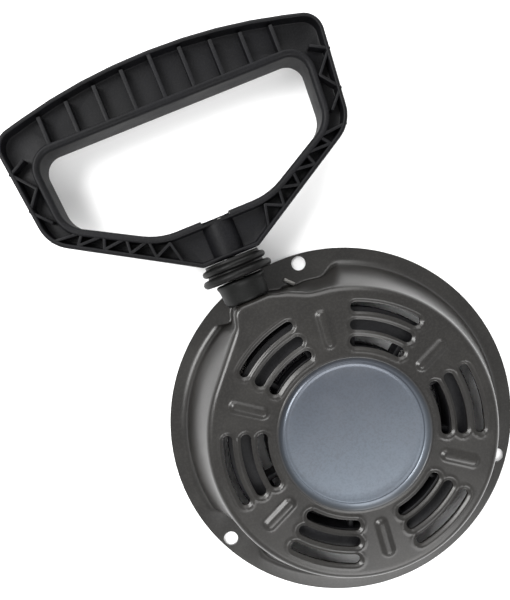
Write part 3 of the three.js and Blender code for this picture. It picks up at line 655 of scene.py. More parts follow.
def resampled(points, spacing):
    """An open path again, with points about one spacing apart."""
    lengths = [0.0]
    for a, b in zip(points, points[1:]):
        lengths.append(lengths[-1] + (b - a).length)
    count = max(2, round(lengths[-1] / spacing))
    found = []
    i = 0
    for k in range(count + 1):
        want = lengths[-1] * k / count
        while i < len(points) - 2 and lengths[i + 1] < want:
            i += 1
        share = (want - lengths[i]) / max(lengths[i + 1] - lengths[i], 1e-9)
        found.append(points[i].lerp(points[i + 1], min(1.0, share)))
    return found


def face_outline(cover, line):
    """Edge of the flat face, counterclockwise, as (point, outward normal, share of spout)."""
    across = Vector((math.cos(line.tilt), math.sin(line.tilt)))
    along = Vector((-math.sin(line.tilt), math.cos(line.tilt)))
    radius = cover.face_radius

    def on_circle(u):
        side = u + line.offset
        return Vector((side, math.sqrt(radius * radius - side * side)))

    right, dip, left = on_circle(33.0), on_circle(24.5), on_circle(-27.0)
    corners = [(right.x, right.y, 0), (dip.x, dip.y, 16.0)]
    corners += [(u + line.offset, v, r) for u, v, r in SPOUT_CORNERS]
    corners += [(left.x, left.y, 0)]
    path = resampled(filleted(corners, 10.0, closed=False), 0.8)
    start = math.atan2(right.y, right.x)
    rest = TURN - (math.atan2(left.y, left.x) - start)
    around = cover.columns
    circle = []
    for i in range(1, around):
        angle = math.atan2(left.y, left.x) + rest * i / around
        circle.append(Vector((math.cos(angle), math.sin(angle))) * radius)
    points = path + circle
    spout = []
    for p in path:
        spout.append(smoothstep((p.length - SPOUT_NEAR) / 3.0))
    spout += [0.0] * len(circle)
    count = len(points)
    for _ in range(3):
        points = [points[i] * 0.5 + (points[i - 1] + points[(i + 1) % count]) * 0.25 for i in range(count)]
        spout = [spout[i] * 0.5 + (spout[i - 1] + spout[(i + 1) % count]) * 0.25 for i in range(count)]
    found = []
    for i, p in enumerate(points):
        way = (points[(i + 1) % count] - points[i - 1]).normalized()
        normal = Vector((way.y, -way.x))
        xy = across * p.x + along * p.y
        facing = across * normal.x + along * normal.y
        found.append((xy, facing, spout[i]))
    return found


def slot_distance(x, y):
    """Signed distance in mm to the nearest slot of the face: negative inside it."""
    r = math.hypot(x, y)
    a = math.atan2(y, x)
    a -= round(a / (math.pi / 3)) * math.pi / 3
    best = 1e9
    for inner, width in SLOTS:
        middle = inner + width / 2
        if abs(a) < SLOT_HALF:
            d = abs(r - middle) - width / 2
        else:
            over = abs(a) - SLOT_HALF
            d = math.hypot(r * math.cos(over) - middle, r * math.sin(over)) - width / 2
        best = min(best, d)
    return best


def rib_height(x, y):
    """The six pressed ribs between the groups of slots."""
    r = math.hypot(x, y)
    a = math.atan2(y, x) - math.pi / 6
    a -= round(a / (math.pi / 3)) * math.pi / 3
    px, py = r * math.cos(a), r * math.sin(a)
    dx = max(42.0 - px, 0, px - 54.3)
    d = math.hypot(dx, py)
    return 1.2 * smoothstep((3.2 - d) / 2.2)


def face_relief(x, y):
    """How far the face's skin is pressed up or down from flat, in mm."""
    d = slot_distance(x, y)
    r = math.hypot(x, y)
    a = math.atan2(y, x)
    a -= round(a / (math.pi / 3)) * math.pi / 3
    roll = -0.85 * (1 - smoothstep((d + 0.1) / 1.5))
    bead = 0.28 * math.exp(-(((d - 1.75) / 0.5) ** 2))
    between = 38.5 < r < 58.2 and abs(a) < SLOT_HALF
    return rib_height(x, y) + roll + (0.0 if between else bead)


class Sheet:
    """One side of the pressed sheet, as a bmesh under construction."""

    def __init__(self, cover, depth, mesh):
        self.cover = cover
        self.depth = depth
        self.mesh = mesh

    def row(self, points):
        return [self.mesh.verts.new(Vector(p) * MM) for p in points]

    def bridge(self, low, high):
        count = len(low)
        for i in range(count):
            n = (i + 1) % count
            self.mesh.faces.new((low[i], low[n], high[n], high[i]))

    def fill(self, outer, inner):
        """Flat ring between two closed rows."""
        edges = []
        for row in (outer, inner):
            for i in range(len(row)):
                a, b = row[i], row[(i + 1) % len(row)]
                edge = self.mesh.edges.get((a, b)) or self.mesh.edges.new((a, b))
                edges.append(edge)
        bmesh.ops.triangle_fill(self.mesh, use_beauty=True, edges=edges, normal=(0, 0, 1))

    def build(self, outline, feet):
        cover, o = self.cover, self.depth
        angles = [TURN * i / 240 for i in range(240)]
        r = cover.flange_radius
        rim = self.row([(r * math.cos(a), r * math.sin(a), cover.sheet - o) for a in angles])
        rows = [[] for _ in range(21)]
        for (edge, normal, spout), (run, root) in zip(outline, feet):
            shoulder = cover.shoulder + (SPOUT_SHOULDER - cover.shoulder) * spout
            drop = (cover.height - shoulder) - (cover.sheet + root)
            draft = math.acos(min(1.0, (shoulder + root) / math.hypot(run, drop))) - math.atan2(drop, run)
            outer_root, outer_shoulder = root + o, shoulder - o
            path = []
            for k in range(8):
                a = -math.pi / 2 - (math.pi / 2 - draft) * k / 7
                path.append((run + outer_root * math.cos(a), cover.sheet + root + outer_root * math.sin(a)))
            centre_z = cover.height - shoulder
            top = (outer_shoulder * math.cos(draft), centre_z + outer_shoulder * math.sin(draft))
            low = path[-1]
            for k in range(1, 5):
                path.append((low[0] + (top[0] - low[0]) * k / 5, low[1] + (top[1] - low[1]) * k / 5))
            for k in range(9):
                a = draft + (math.pi / 2 - draft) * k / 8
                path.append((outer_shoulder * math.cos(a), centre_z + outer_shoulder * math.sin(a)))
            for k, (out, z) in enumerate(path):
                spot = edge + normal * out
                rows[k].append((spot.x, spot.y, z))
        rows = [self.row(row) for row in rows]
        self.fill(rim, rows[0])
        for low, high in zip(rows, rows[1:]):
            self.bridge(low, high)
        around = 432
        spokes = [(math.cos(TURN * i / around), math.sin(TURN * i / around)) for i in range(around)]
        radii = [FACE_RING - 0.57 * i for i in range(41)] + [37.2, 36.6, 36.0, 35.4, 34.9]
        face = []
        for r in radii:
            ring = []
            for c, s in spokes:
                lift = 0.0 if r == FACE_RING else face_relief(r * c, r * s)
                ring.append((r * c, r * s, cover.height - o + lift))
            face.append(self.row(ring))
        for r, z in disc_profile(cover):
            face.append(self.row([(r * c, r * s, z - o) for c, s in spokes]))
        self.fill(rows[-1], face[0])
        for low, high in zip(face, face[1:]):
            self.bridge(low, high)
        self.mesh.faces.new(face[-1])
        return rim


def disc_profile(cover):
    """Rows of the sunk disc, from its bright raised edge down to its flat floor."""
    top, low = cover.height, cover.height - cover.disc_depth
    rows = [(34.6, top + 0.08), (34.3, top + 0.24), (34.0, top + 0.24), (33.7, top + 0.05)]
    rows += [(33.4, top - 0.35), (33.05, top - 0.95), (32.65, top - 1.6)]
    rows += [(32.2, low + 0.3), (31.8, low + 0.05), (31.45, low + 0.12), (31.15, low + 0.36)]
    rows += [(30.85, low + 0.42), (30.5, low + 0.3), (30.0, low + 0.08), (29.4, low)]
    rows += [(r, low) for r in (27.0, 24.0, 20.0, 16.0, 12.0, 8.0, 4.0, 1.5)]
    return rows


class STARTER_OT_cover(bpy.types.Operator):
    """Pressed cover: both sides of the sheet from one profile round the face's outline, then pierced"""

    bl_idname = "starter.cover"
    bl_label = "Cover"

    def execute(self, context):
        cover = context.scene.starter_cover
        outline = face_outline(cover, context.scene.starter_rope)
        feet = self.feet(cover, outline)
        built = bmesh.new()
        outer = Sheet(cover, 0.0, built).build(outline, feet)
        under = Sheet(cover, cover.sheet, built)
        inner = under.build(outline, feet)
        under.bridge(outer, inner)
        bmesh.ops.recalc_face_normals(built, faces=built.faces)
        mesh = bpy.data.meshes.new("cover")
        built.to_mesh(mesh)
        built.free()
        skin = bpy.data.objects.new("cover", mesh)
        context.scene.collection.objects.link(skin)
        self.pierce(skin, cover, context)
        shade(skin, 38)
        settle(skin, "cover_pressing", "housing", look("paint"), ["starter_case"])
        return {"FINISHED"}

    def feet(self, cover, outline):
        """Run of the wall and radius of its root in each column: short at the bolt pads and the spout."""
        found = []
        for edge, normal, spout in outline:
            degrees = math.degrees(math.atan2(edge.y, edge.x)) % 360
            near = min(abs((degrees - p + 180) % 360 - 180) for p in POCKET_ANGLES)
            pad = smoothstep((PAD_HALF - near) / PAD_BLEND)
            full = cover.face_radius + cover.run - edge.length
            short = max(SPOUT_RUN, PAD_FOOT - edge.length)
            run = full + (short - full) * pad
            root = cover.root + (PAD_ROOT - cover.root) * pad
            left = smoothstep((degrees - SPOUT_BLEND[0]) / SPOUT_BLEND[1])
            if SPOUT_SIDE[0] < degrees < SPOUT_SIDE[1]:
                run = min(run, SPOUT_RUN + 0.5 + (full - SPOUT_RUN - 0.5) * left)
                root = min(root, SPOUT_ROOT + (cover.root - SPOUT_ROOT) * left)
            end = smoothstep((spout - 0.6) / 0.4)
            run += (min(run, SPOUT_RUN) - run) * end
            root += (min(root, SPOUT_ROOT) - root) * end
            found.append((run, root))
        count = len(found)
        for _ in range(4):
            eased = []
            for i in range(count):
                here, before, after = found[i], found[i - 1], found[(i + 1) % count]
                eased.append(tuple(here[k] * 0.5 + (before[k] + after[k]) * 0.25 for k in (0, 1)))
            found = eased
        return found

    def pierce(self, skin, cover, context):
        tools = []
        for i in range(6):
            turn = i * math.pi / 3
            for inner, width in SLOTS:
                middle = inner + width / 2
                half = math.degrees(SLOT_HALF)
                points = arc((0, 0), inner + width, -half, half, 28)
                end = (middle * math.cos(SLOT_HALF), middle * math.sin(SLOT_HALF))
                points += arc(end, width / 2, half, half + 180, 12)[1:]
                points += arc((0, 0), inner, half, -half, 28)[1:]
                end = (middle * math.cos(SLOT_HALF), -middle * math.sin(SLOT_HALF))
                points += arc(end, width / 2, 180 - half, 360 - half, 12)[1:-1]
                tools.append(prism(points, cover.height - 4, cover.height + 3, Matrix.Rotation(turn, 4, "Z")))
        for degrees in POCKET_ANGLES:
            a = math.radians(degrees)
            spot = (HOLE_CIRCLE * math.cos(a), HOLE_CIRCLE * math.sin(a))
            tools.append(cylinder(HOLE_RADIUS, -2, 4, 40, spot))
        place = rope_matrix(context, along_z=True)
        tools.append(cylinder(6.3, 67.0, 74.0, 48, (0, 0), place))
        cut(skin, join(*tools))


# ------------------------------------------------------------------ guide and bumper
GUIDE_FRONT = 71.5  # the spout's end wall, along the rope, mm
GUIDE_END = 82.1
BUMPER_START = 82.8


class STARTER_OT_guide(bpy.types.Operator):
    """Moulded rope guide in the spout"""

    bl_idname = "starter.guide"
    bl_label = "Rope guide"

    def execute(self, context):
        place = rope_matrix(context, along_z=True)
        v, end = GUIDE_FRONT, GUIDE_END
        profile = [(5.3, v - 5.1), (5.8, v - 5.1), (6.0, v - 4.9), (6.0, v)]
        profile += [(8.2, v)] + arc((8.2, v + 2.0), 2.0, -90, -8, 7)[1:]
        profile += [(10.45, v + 4.5), (10.6, v + 7.5)]
        profile += [(10.9, v + 8.6), (11.2, v + 9.2), (11.2, v + 9.9), (10.9, end - 0.2), (10.4, end)]
        profile += [(6.9, end)] + [(6.2, end - 0.15), (5.2, end - 1.0), (4.4, end - 2.6), (3.8, end - 4.6)]
        profile += [(3.7, end - 5.2), (3.7, v - 1.1)]
        guide = turned("guide", profile, 96, place)
        shade(guide, 40)
        settle(guide, "guide_moulding", "housing", look("guide"), ["rope_guide"])
        return {"FINISHED"}


class STARTER_OT_bumper(bpy.types.Operator):
    """Rubber bumper: two rounded discs with a deep groove between them"""

    bl_idname = "starter.bumper"
    bl_label = "Bumper"

    def execute(self, context):
        place = rope_matrix(context, along_z=True)
        v = BUMPER_START
        profile = [(3.0, v + 0.2), (3.2, v), (12.8, v)]
        profile += arc((14.3, v + 1.75), 1.75, -90, 90, 12)
        profile += arc((13.6, v + 4.2), 0.7, -90, -180, 5)
        profile += [(12.9, v + 4.6)]
        profile += arc((13.3, v + 6.15), 1.5, -90, 90, 12)
        profile += [(12.7, v + 7.9), (12.5, v + 8.3), (12.5, v + 9.0), (12.3, v + 9.2)]
        profile += [(3.2, v + 9.2), (3.0, v + 9.0)]
        bumper = turned("bumper", profile, 96, place)
        shade(bumper, 50)
        settle(bumper, "bumper_moulding", "handle", look("rubber"), ["rope_bumper"])
        return {"FINISHED"}


# ------------------------------------------------------------------ handle
HANDLE_FOOT = 92.4  # along the rope from the reel's axis, mm
KNOT_SEAT = 9.1
KNOT_RECESS = (13.0, 13.0)
RIB_PITCH = 13.2
RIB_FOOT = 71.5
RIB_HEAD = 92.0
HEAD_FALL = 0.14  # how much shorter a rib gets for each mm from the middle
ARM_STRUTS = 5
END_STRUTS = (
    ((64.6, 42.0), (71.4, 49.6)),
    ((65.0, 57.6), (71.4, 49.6)),
    ((65.0, 57.6), (72.6, 66.6)),
    ((65.6, 70.6), (73.2, 66.6)),
)
BOSS_SPAN = (0.6, 17.2)
NOTCH_START = 17.1
RECESS_END = 22.6
BORE_RADIUS = 2.9

# Corners as (u, v, fillet) of the right half, v from the handle's foot; the left half mirrors them.
HANDLE_OUTLINE = ((13.0, 0.0, 1.5), (70.2, 33.8, 16), (74.9, 83.1, 9), (31.0, 93.9, 245))
HANDLE_GRIP = ((25.3, 19.0, 30), (59.8, 38.1, 12), (61.6, 69.9, 8))


def mirrored(half):
    return list(half) + [(-u, v, r) for u, v, r in reversed(half)]


def inset(corners, depth):
    """Moves every side of a convex outline inwards and shrinks its fillets with it."""
    count = len(corners)
    found = []
    for i, (u, v, r) in enumerate(corners):
        before = Vector(corners[i - 1][:2])
        after = Vector(corners[(i + 1) % count][:2])
        here = Vector((u, v))
        a = (here - before).normalized()
        b = (after - here).normalized()
        normal = Vector((-a.y - b.y, a.x + b.x))
        scale = depth / (1 + a.dot(b))
        found.append((u + normal.x * scale, v + normal.y * scale, max(0.2, r - depth)))
    return found


class STARTER_OT_handle(bpy.types.Operator):
    """D handle: rounded rims round pockets on both faces, cross ribs, struts and the boss over the rope"""

    bl_idname = "starter.handle"
    bl_label = "Handle"

    def execute(self, context):
        sizes = context.scene.starter_handle
        place = rope_matrix(context) @ Matrix.Translation((0, HANDLE_FOOT * MM, 0))
        handle = self.shell(context, sizes)
        ribs = self.ribs(sizes)
        cut(handle, ribs, "UNION", crossing=True)
        cut(handle, self.boss(sizes), "UNION")
        cut(handle, self.recess(context))
        edit(handle)
        bpy.ops.mesh.remove_doubles(threshold=0.000002)
        bpy.ops.mesh.normals_make_consistent(inside=False)
        done()
        handle.data.transform(place)
        shade(handle, 32)
        settle(handle, "handle_moulding", "handle", look("handle"), ["handle"])
        return {"FINISHED"}

    def shell(self, context, sizes):
        outline = mirrored(HANDLE_OUTLINE)
        grip = mirrored(HANDLE_GRIP)
        top = sizes.low + sizes.thickness
        middle = top - sizes.thickness / 2
        floor = top - sizes.pocket
        outer = self.rim_profile(sizes.rim, middle, top, floor, 1.1, 0.6, 4)
        inner = self.rim_profile(sizes.grip_rim, middle, top, floor, 2.0, 0.8, 6)
        built = bmesh.new()
        ends = {}
        for side in (1, -1):
            lasts = []
            for corners, rows, sign in ((outline, outer, 1), (grip, inner, -1)):
                last = None
                for i, (depth, z) in enumerate(rows):
                    height = middle + (z - middle) * side
                    if i == 0 and (corners[0], "middle") in ends:
                        row = ends[(corners[0], "middle")]
                    else:
                        points = filleted(inset(corners, depth * sign), 6)
                        row = [built.verts.new((p.x * MM, p.y * MM, height * MM)) for p in points]
                        if i == 0:
                            ends[(corners[0], "middle")] = row
                    if last:
                        for k in range(len(row)):
                            n = (k + 1) % len(row)
                            built.faces.new((last[k], last[n], row[n], row[k]))
                    last = row
                lasts.append(last)
            edges = []
            for row in lasts:
                for k in range(len(row)):
                    a, b = row[k], row[(k + 1) % len(row)]
                    edges.append(built.edges.get((a, b)))
            bmesh.ops.triangle_fill(built, use_beauty=True, edges=edges, normal=(0, 0, side))
        bmesh.ops.recalc_face_normals(built, faces=built.faces)
        mesh = bpy.data.meshes.new("handle")
        built.to_mesh(mesh)
        built.free()
        obj = bpy.data.objects.new("handle", mesh)
        context.scene.collection.objects.link(obj)
        return obj

    def rim_profile(self, width, middle, top, floor, outside, inside, steps):
        """Half a rim as (depth, z): round edge outside, smaller edge inside, fillet on the pocket's floor."""
        rows = [(0, middle), (0, top - outside)]
        rows += [(outside - p[0], p[1]) for p in arc((0, top - outside), outside, 0, 90, steps)[1:]]
        rows += [(width - inside, top)]
        for a in (0.4, 0.8, 1.2, 1.5):
            rows.append((width - inside + inside * math.sin(a), top - inside + inside * math.cos(a)))
        rows += [(width + 0.25, floor + 0.7), (width + 0.4, floor + 0.2), (width + 0.8, floor)]
        return rows

    def bar(self, start, end, width, low, high, bevel=0.35):
        """One straight rib with rounded top edges."""
        run = Vector(end) - Vector(start)
        obj = box((-0.3, -width / 2, low), (run.length + 0.3, width / 2, high))
        modify(obj, "BEVEL", width=bevel * MM, segments=2, limit_method="NONE")
        turn = Matrix.Rotation(math.atan2(run.y, run.x), 4, "Z")
        obj.data.transform(Matrix.Translation((start[0] * MM, start[1] * MM, 0)) @ turn)
        return obj

    def ribs(self, sizes):
        """Cross ribs of the top bar and the struts of both arms, through both pockets."""
        low, high = sizes.low + 0.35, sizes.low + sizes.thickness - 0.35
        made = []
        for i in range(-4, 5):
            u = i * RIB_PITCH
            made.append(self.bar((u, RIB_FOOT), (u, RIB_HEAD - abs(u) * HEAD_FALL), sizes.rib, low, high))

        def outer_edge(t):
            return (20 + 48 * t, 6.2 + 28.4 * t)

        def inner_edge(t):
            return (18 + 41 * t, 13.0 + 22.8 * t)

        for side in (1, -1):
            lines = []
            for i in range(ARM_STRUTS):
                t = i / ARM_STRUTS
                mid = t + 0.5 / ARM_STRUTS
                lines.append((outer_edge(t), inner_edge(mid)))
                lines.append((inner_edge(mid), outer_edge(t + 1 / ARM_STRUTS)))
            for start, end in lines + list(END_STRUTS):
                first, last = (side * start[0], start[1]), (side * end[0], end[1])
                made.append(self.bar(first, last, sizes.strut, low, high, 0.3))
        return join(*made)

    def boss(self, sizes):
        """Stadium-section block over the rope, from the foot to the grip's rim."""
        top = sizes.low + sizes.thickness
        r = sizes.boss
        section = arc((0, top - r - 0.1), r, 0, 180, 24)
        section += arc((0, sizes.low + r + 0.1), r, 180, 360, 24)
        block = prism(section, *BOSS_SPAN)
        block.data.transform(Z_TO_V)
        return tidy_normals(block, 0)

    def recess(self, context):
        """Seat for the rope's knot, open to the grip, and the rope's bore."""
        height = context.scene.starter_rope.height
        wide, tall = KNOT_RECESS
        quarters = ((1, -1), (1, 1), (-1, 1), (-1, -1))
        corners = [(side * wide / 2, height + up * tall / 2, 3.0) for side, up in quarters]
        seat = prism([tuple(p) for p in filleted(corners, 15)], KNOT_SEAT, RECESS_END)
        seat.data.transform(Z_TO_V)
        tidy_normals(seat, 0)
        notch = box((-wide / 2, NOTCH_START, height), (wide / 2, RECESS_END, height + 12))
        modify(notch, "BEVEL", width=0.5 * MM, segments=2, limit_method="NONE")
        cut(seat, notch, "UNION")
        bore = cylinder(BORE_RADIUS, -2, 12, 32)
        stand = Matrix(((1, 0, 0, 0), (0, 0, 1, 0), (0, -1, 0, height * MM), (0, 0, 0, 1)))
        bore.data.transform(stand)
        cut(seat, tidy_normals(bore, 0), "UNION")
        return seat


# ------------------------------------------------------------------ rope
GROOVE_FLOOR = 46.0
FLOOR_INNER = 44.2
CHAMBER = 36.5
CHAMBER_OUTER = 38.5
REEL_RADIUS = 56.0
REEL_TOP = 22.5
WEB = (10.5, 12.5)
TURN_PITCH = 4.2
WOUND_DEGREES = 1300
LAYER_ONE = 48.4
GUIDE_TAIL = 66.4
KNOT_ANGLE = -19.5  # degrees of winding before the first turn
PIVOT = 23.0  # pawl pins, from the axis
PEG_REACH = 8.0
PAWL_LEAN = 0.11  # radians
PAWL_LENGTH = 15.0


def rope_point(context, u, v, z=None):
    height = context.scene.starter_rope.height if z is None else z
    return (rope_matrix(context) @ Vector((u * MM, v * MM, height * MM))) / MM


def leave_angle(context):
    """Direction of the point where the rope leaves the reel for the guide's tail."""
    tail = rope_point(context, 0, GUIDE_TAIL)
    reach = math.hypot(tail.x, tail.y)
    return math.atan2(tail.y, tail.x) + math.acos((LAYER_ONE + TURN_PITCH) / reach)


def wound_at(context, s):
    """Place of the rope after s degrees of winding from its inner end."""
    sideways = smoothstep((s - 342) / 54)
    outwards = smoothstep((s - 648) / 54)
    back = smoothstep((s - 954) / 54)
    rise = smoothstep(-s / 14)
    radius = LAYER_ONE + TURN_PITCH * outwards - (LAYER_ONE - FLOOR_INNER + 1.8) * rise
    z = WEB[1] + 2.15 + TURN_PITCH * (sideways - back) + 1.9 * rise
    angle = leave_angle(context) + math.radians(WOUND_DEGREES - s)
    return Vector((radius * math.cos(angle), radius * math.sin(angle), z))


def trefoil(centre, scale, lie):
    """A small overhand knot; lie turns its plane."""
    points = []
    for i in range(61):
        t = TURN * i / 60
        x = math.sin(t) + 2 * math.sin(2 * t)
        y = math.cos(t) - 2 * math.cos(2 * t)
        z = -math.sin(3 * t)
        points.append(Vector(centre) + lie @ Vector((x, y, z)) * scale)
    return points


class STARTER_OT_rope(bpy.types.Operator):
    """Braided rope: its turns on the reel, the run to the guide, the pulled length, both knots"""

    bl_idname = "starter.rope"
    bl_label = "Rope"

    def execute(self, context):
        radius = context.scene.starter_rope.radius
        steps = 330
        path = [wound_at(context, -14 + (WOUND_DEGREES + 13) * i / steps) for i in range(steps + 1)]
        coil = shade(tube("rope_turns", path, radius, 12), 60)
        settle(coil, "rope_turns", "reel", look("rope"), ["rope_coil"])
        lead = shade(tube("rope_run", self.lead(context), radius, 16), 60)
        settle(lead, "rope_run", "housing", look("rope"), ["rope_lead"])
        ends = [rope_point(context, 0, 82.9 + 20.2 * i / 12) for i in range(13)]
        stub = shade(tube("rope_end", ends, radius, 16), 60)
        settle(stub, "rope_end", "handle", look("rope"), ["rope_stub"])
        lie = Matrix.Rotation(math.radians(90), 3, "X") @ Matrix.Rotation(math.radians(25), 3, "Y")
        tied = tube("knot", trefoil(rope_point(context, 0, 107.2), 0.82, lie), 1.75, 12)
        settle(shade(tied, 60), "knot_in_handle", "handle", look("knot"), ["rope_knot_handle"])
        inner = wound_at(context, KNOT_ANGLE)
        spot = Vector((inner.x, inner.y, 0)).normalized() * 41.5
        centre = (spot.x, spot.y, inner.z + 0.1)
        tied = tube("knot", trefoil(centre, 0.45, Matrix.Identity(3)), 1.35, 10)
        settle(shade(tied, 60), "knot_in_reel", "reel", look("knot"), ["rope_knot_reel"])
        self.pulled(context, radius)
        return {"FINISHED"}

    def lead(self, context):
        """Straight off the reel, a slow rise to the guide's height, then the bend into the guide."""
        leave = wound_at(context, WOUND_DEGREES)
        height = context.scene.starter_rope.height
        bend = rope_point(context, 0, GUIDE_TAIL + 3)
        run = bend - leave

        def along(share, z):
            spot = leave + run * share
            return Vector((spot.x, spot.y, z))

        end = rope_point(context, 0, GUIDE_TAIL + 10)
        start = along(0.86, height)
        points = [along(0.02 + 0.43 * i / 6, leave.z) for i in range(6)]
        for i in range(6):
            points.append(along(0.45 + 0.41 * i / 6, leave.z + (height - leave.z) * smoothstep(i / 6)))
        for i in range(13):
            t = i / 12
            points.append(start * (1 - t) ** 2 + bend * 2 * t * (1 - t) + end * t * t)
        points.append(rope_point(context, 0, 82.2))
        return points

    def pulled(self, context, radius):
        """The length that shows between guide and bumper once the handle is pulled."""
        count = 40
        path = [rope_point(context, 0, 76.0 + 14.0 * i / count) for i in range(count + 1)]
        cord = shade(tube("rope_pulled", path, radius - 0.04, 16), 60)
        pull = 850.0 / 14.0
        for item in cord.data.uv_layers["Lay"].data:
            item.uv = (item.uv[0] * pull, item.uv[1])
        take(cord)
        cord.data.materials.append(look("rope"))
        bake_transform(cord)


# ------------------------------------------------------------------ reel and what it carries
def ring(name, inner, outer, low, high, edge=0.2, steps=96):
    """Plain turned ring with small edge breaks."""
    profile = [(inner, low + edge), (inner + edge, low), (outer - edge, low), (outer, low + edge)]
    profile += [(outer, high - edge), (outer - edge, high), (inner + edge, high), (inner, high - edge)]
    return shade(turned(name, profile, steps), 40)


def first_spoke(context):
    inner = wound_at(context, KNOT_ANGLE)
    return (math.atan2(inner.y, inner.x) - math.radians(20)) % (TURN / 12)


class STARTER_OT_reel(bpy.types.Operator):
    """Moulded reel with its windows and ribs, bush, spiral spring and the spring's cover plate"""

    bl_idname = "starter.reel"
    bl_label = "Reel"

    def execute(self, context):
        first = first_spoke(context)
        reel = self.moulding(context, first)
        settle(reel, "reel_moulding", "reel", look("reel"), ["reel"])
        bush = ring("bush", 8.08, 9.86, 6.8, 12.4)
        settle(bush, "bush", "reel", look("bronze"), ["hub_bush"])
        plate = ring("spring_plate", 10.0, 36.45, 21.5, 22.0, 0.12, 128)
        settle(plate, "spring_plate", "reel", look("zinc"), ["spring_cover"])
        strip = self.spring(first)
        settle(strip, "spring_strip", "reel", look("spring"), ["recoil_spring"])
        return {"FINISHED"}

    def moulding(self, context, first):
        corners = [(9.88, WEB[1], 0.2), (9.88, 6.8, 0.3), (13.5, 6.8, 0.8), (13.5, WEB[0], 1.2)]
        corners += [(REEL_RADIUS, WEB[0], 0.7), (REEL_RADIUS, WEB[1], 0.7), (GROOVE_FLOOR, WEB[1], 0.8)]
        corners += [(GROOVE_FLOOR, REEL_TOP - 1.3, 0.8), (REEL_RADIUS, REEL_TOP - 1.3, 0.5)]
        corners += [(REEL_RADIUS, REEL_TOP, 0.5), (FLOOR_INNER, REEL_TOP, 0.5), (FLOOR_INNER, WEB[1], 0.6)]
        corners += [(CHAMBER_OUTER, WEB[1], 0.6), (CHAMBER_OUTER, REEL_TOP, 0.5), (CHAMBER, REEL_TOP, 0.5)]
        corners += [(CHAMBER, WEB[1], 0.8)]
        reel = turned("reel_moulding", [tuple(p) for p in filleted(corners, 30)], 144)
        ribs, windows = [], []
        for i in range(12):
            turn = first + i * TURN / 12
            rib = box((CHAMBER + 1, -1.1, WEB[1] - 1), (FLOOR_INNER + 0.9, 1.1, 20.4))
            modify(rib, "BEVEL", width=0.4 * MM, segments=2, limit_method="NONE")
            rib.data.transform(Matrix.Rotation(turn, 4, "Z"))
            ribs.append(rib)
            half = 180 / 12 - math.degrees(1.1 / 41)
            corners = arc((0, 0), 43.7, -half, half, 10) + arc((0, 0), 39.3, half, -half, 10)
            windows.append(prism(corners, 0, 20, Matrix.Rotation(turn + TURN / 24, 4, "Z")))
        cut(reel, join(*ribs), "UNION")
        for side in (1, -1):
            windows.append(cylinder(2.02, WEB[0] - 1, WEB[1] + 1, 32, (PIVOT * side, 0)))
        slot = box((CHAMBER - 1, -0.8, 12.7), (CHAMBER_OUTER + 1, 0.8, 24))
        slot.data.transform(Matrix.Rotation(first + TURN / 24, 4, "Z"))
        windows.append(slot)
        enter = wound_at(context, -8)
        rope_slot = box((FLOOR_INNER - 3, -7.5, WEB[1] + 0.05), (GROOVE_FLOOR + 0.6, 7.5, REEL_TOP - 2.5))
        rope_slot.data.transform(Matrix.Rotation(math.atan2(enter.y, enter.x), 4, "Z"))
        windows.append(rope_slot)
        cut(reel, join(*windows), crossing=True)
        return shade(reel, 35)

    def spring(self, first):
        """Spiral strip with a tail in the arbor's slot and one through the chamber's wall."""
        inner, outer, turns, half = 9.7, 35.8, 6, 0.3
        last = TURN * turns + first + TURN / 24
        steps = 96 * turns
        centre = [Vector((6.2, 0)), Vector((8.6, 0.0))]
        for i in range(steps + 1):
            r = inner + (outer - inner) * i / steps
            a = last * i / steps
            centre.append(Vector((r * math.cos(a), r * math.sin(a))))
        way = Vector((math.cos(last), math.sin(last)))
        centre.append(way * (CHAMBER_OUTER + 0.6))
        sides = ([], [])
        for i, p in enumerate(centre):
            before, after = centre[max(i - 1, 0)], centre[min(i + 1, len(centre) - 1)]
            run = (after - before).normalized()
            across = Vector((-run.y, run.x)) * half
            sides[0].append(p + across)
            sides[1].append(p - across)
        built = bmesh.new()
        rows = []
        for left, right in zip(*sides):
            row = [(left, 13.0), (right, 13.0), (right, 21.2), (left, 21.2)]
            rows.append([built.verts.new((p.x * MM, p.y * MM, z * MM)) for p, z in row])
        for a, b in zip(rows, rows[1:]):
            for k in range(4):
                n = (k + 1) % 4
                built.faces.new((a[k], a[n], b[n], b[k]))
        built.faces.new(rows[0])
        built.faces.new(list(reversed(rows[-1])))
        bmesh.ops.recalc_face_normals(built, faces=built.faces)
        mesh = bpy.data.meshes.new("spring_strip")
        built.to_mesh(mesh)
        built.free()
        obj = bpy.data.objects.new("spring_strip", mesh)
        bpy.context.scene.collection.objects.link(obj)
        return shade(obj, 35)


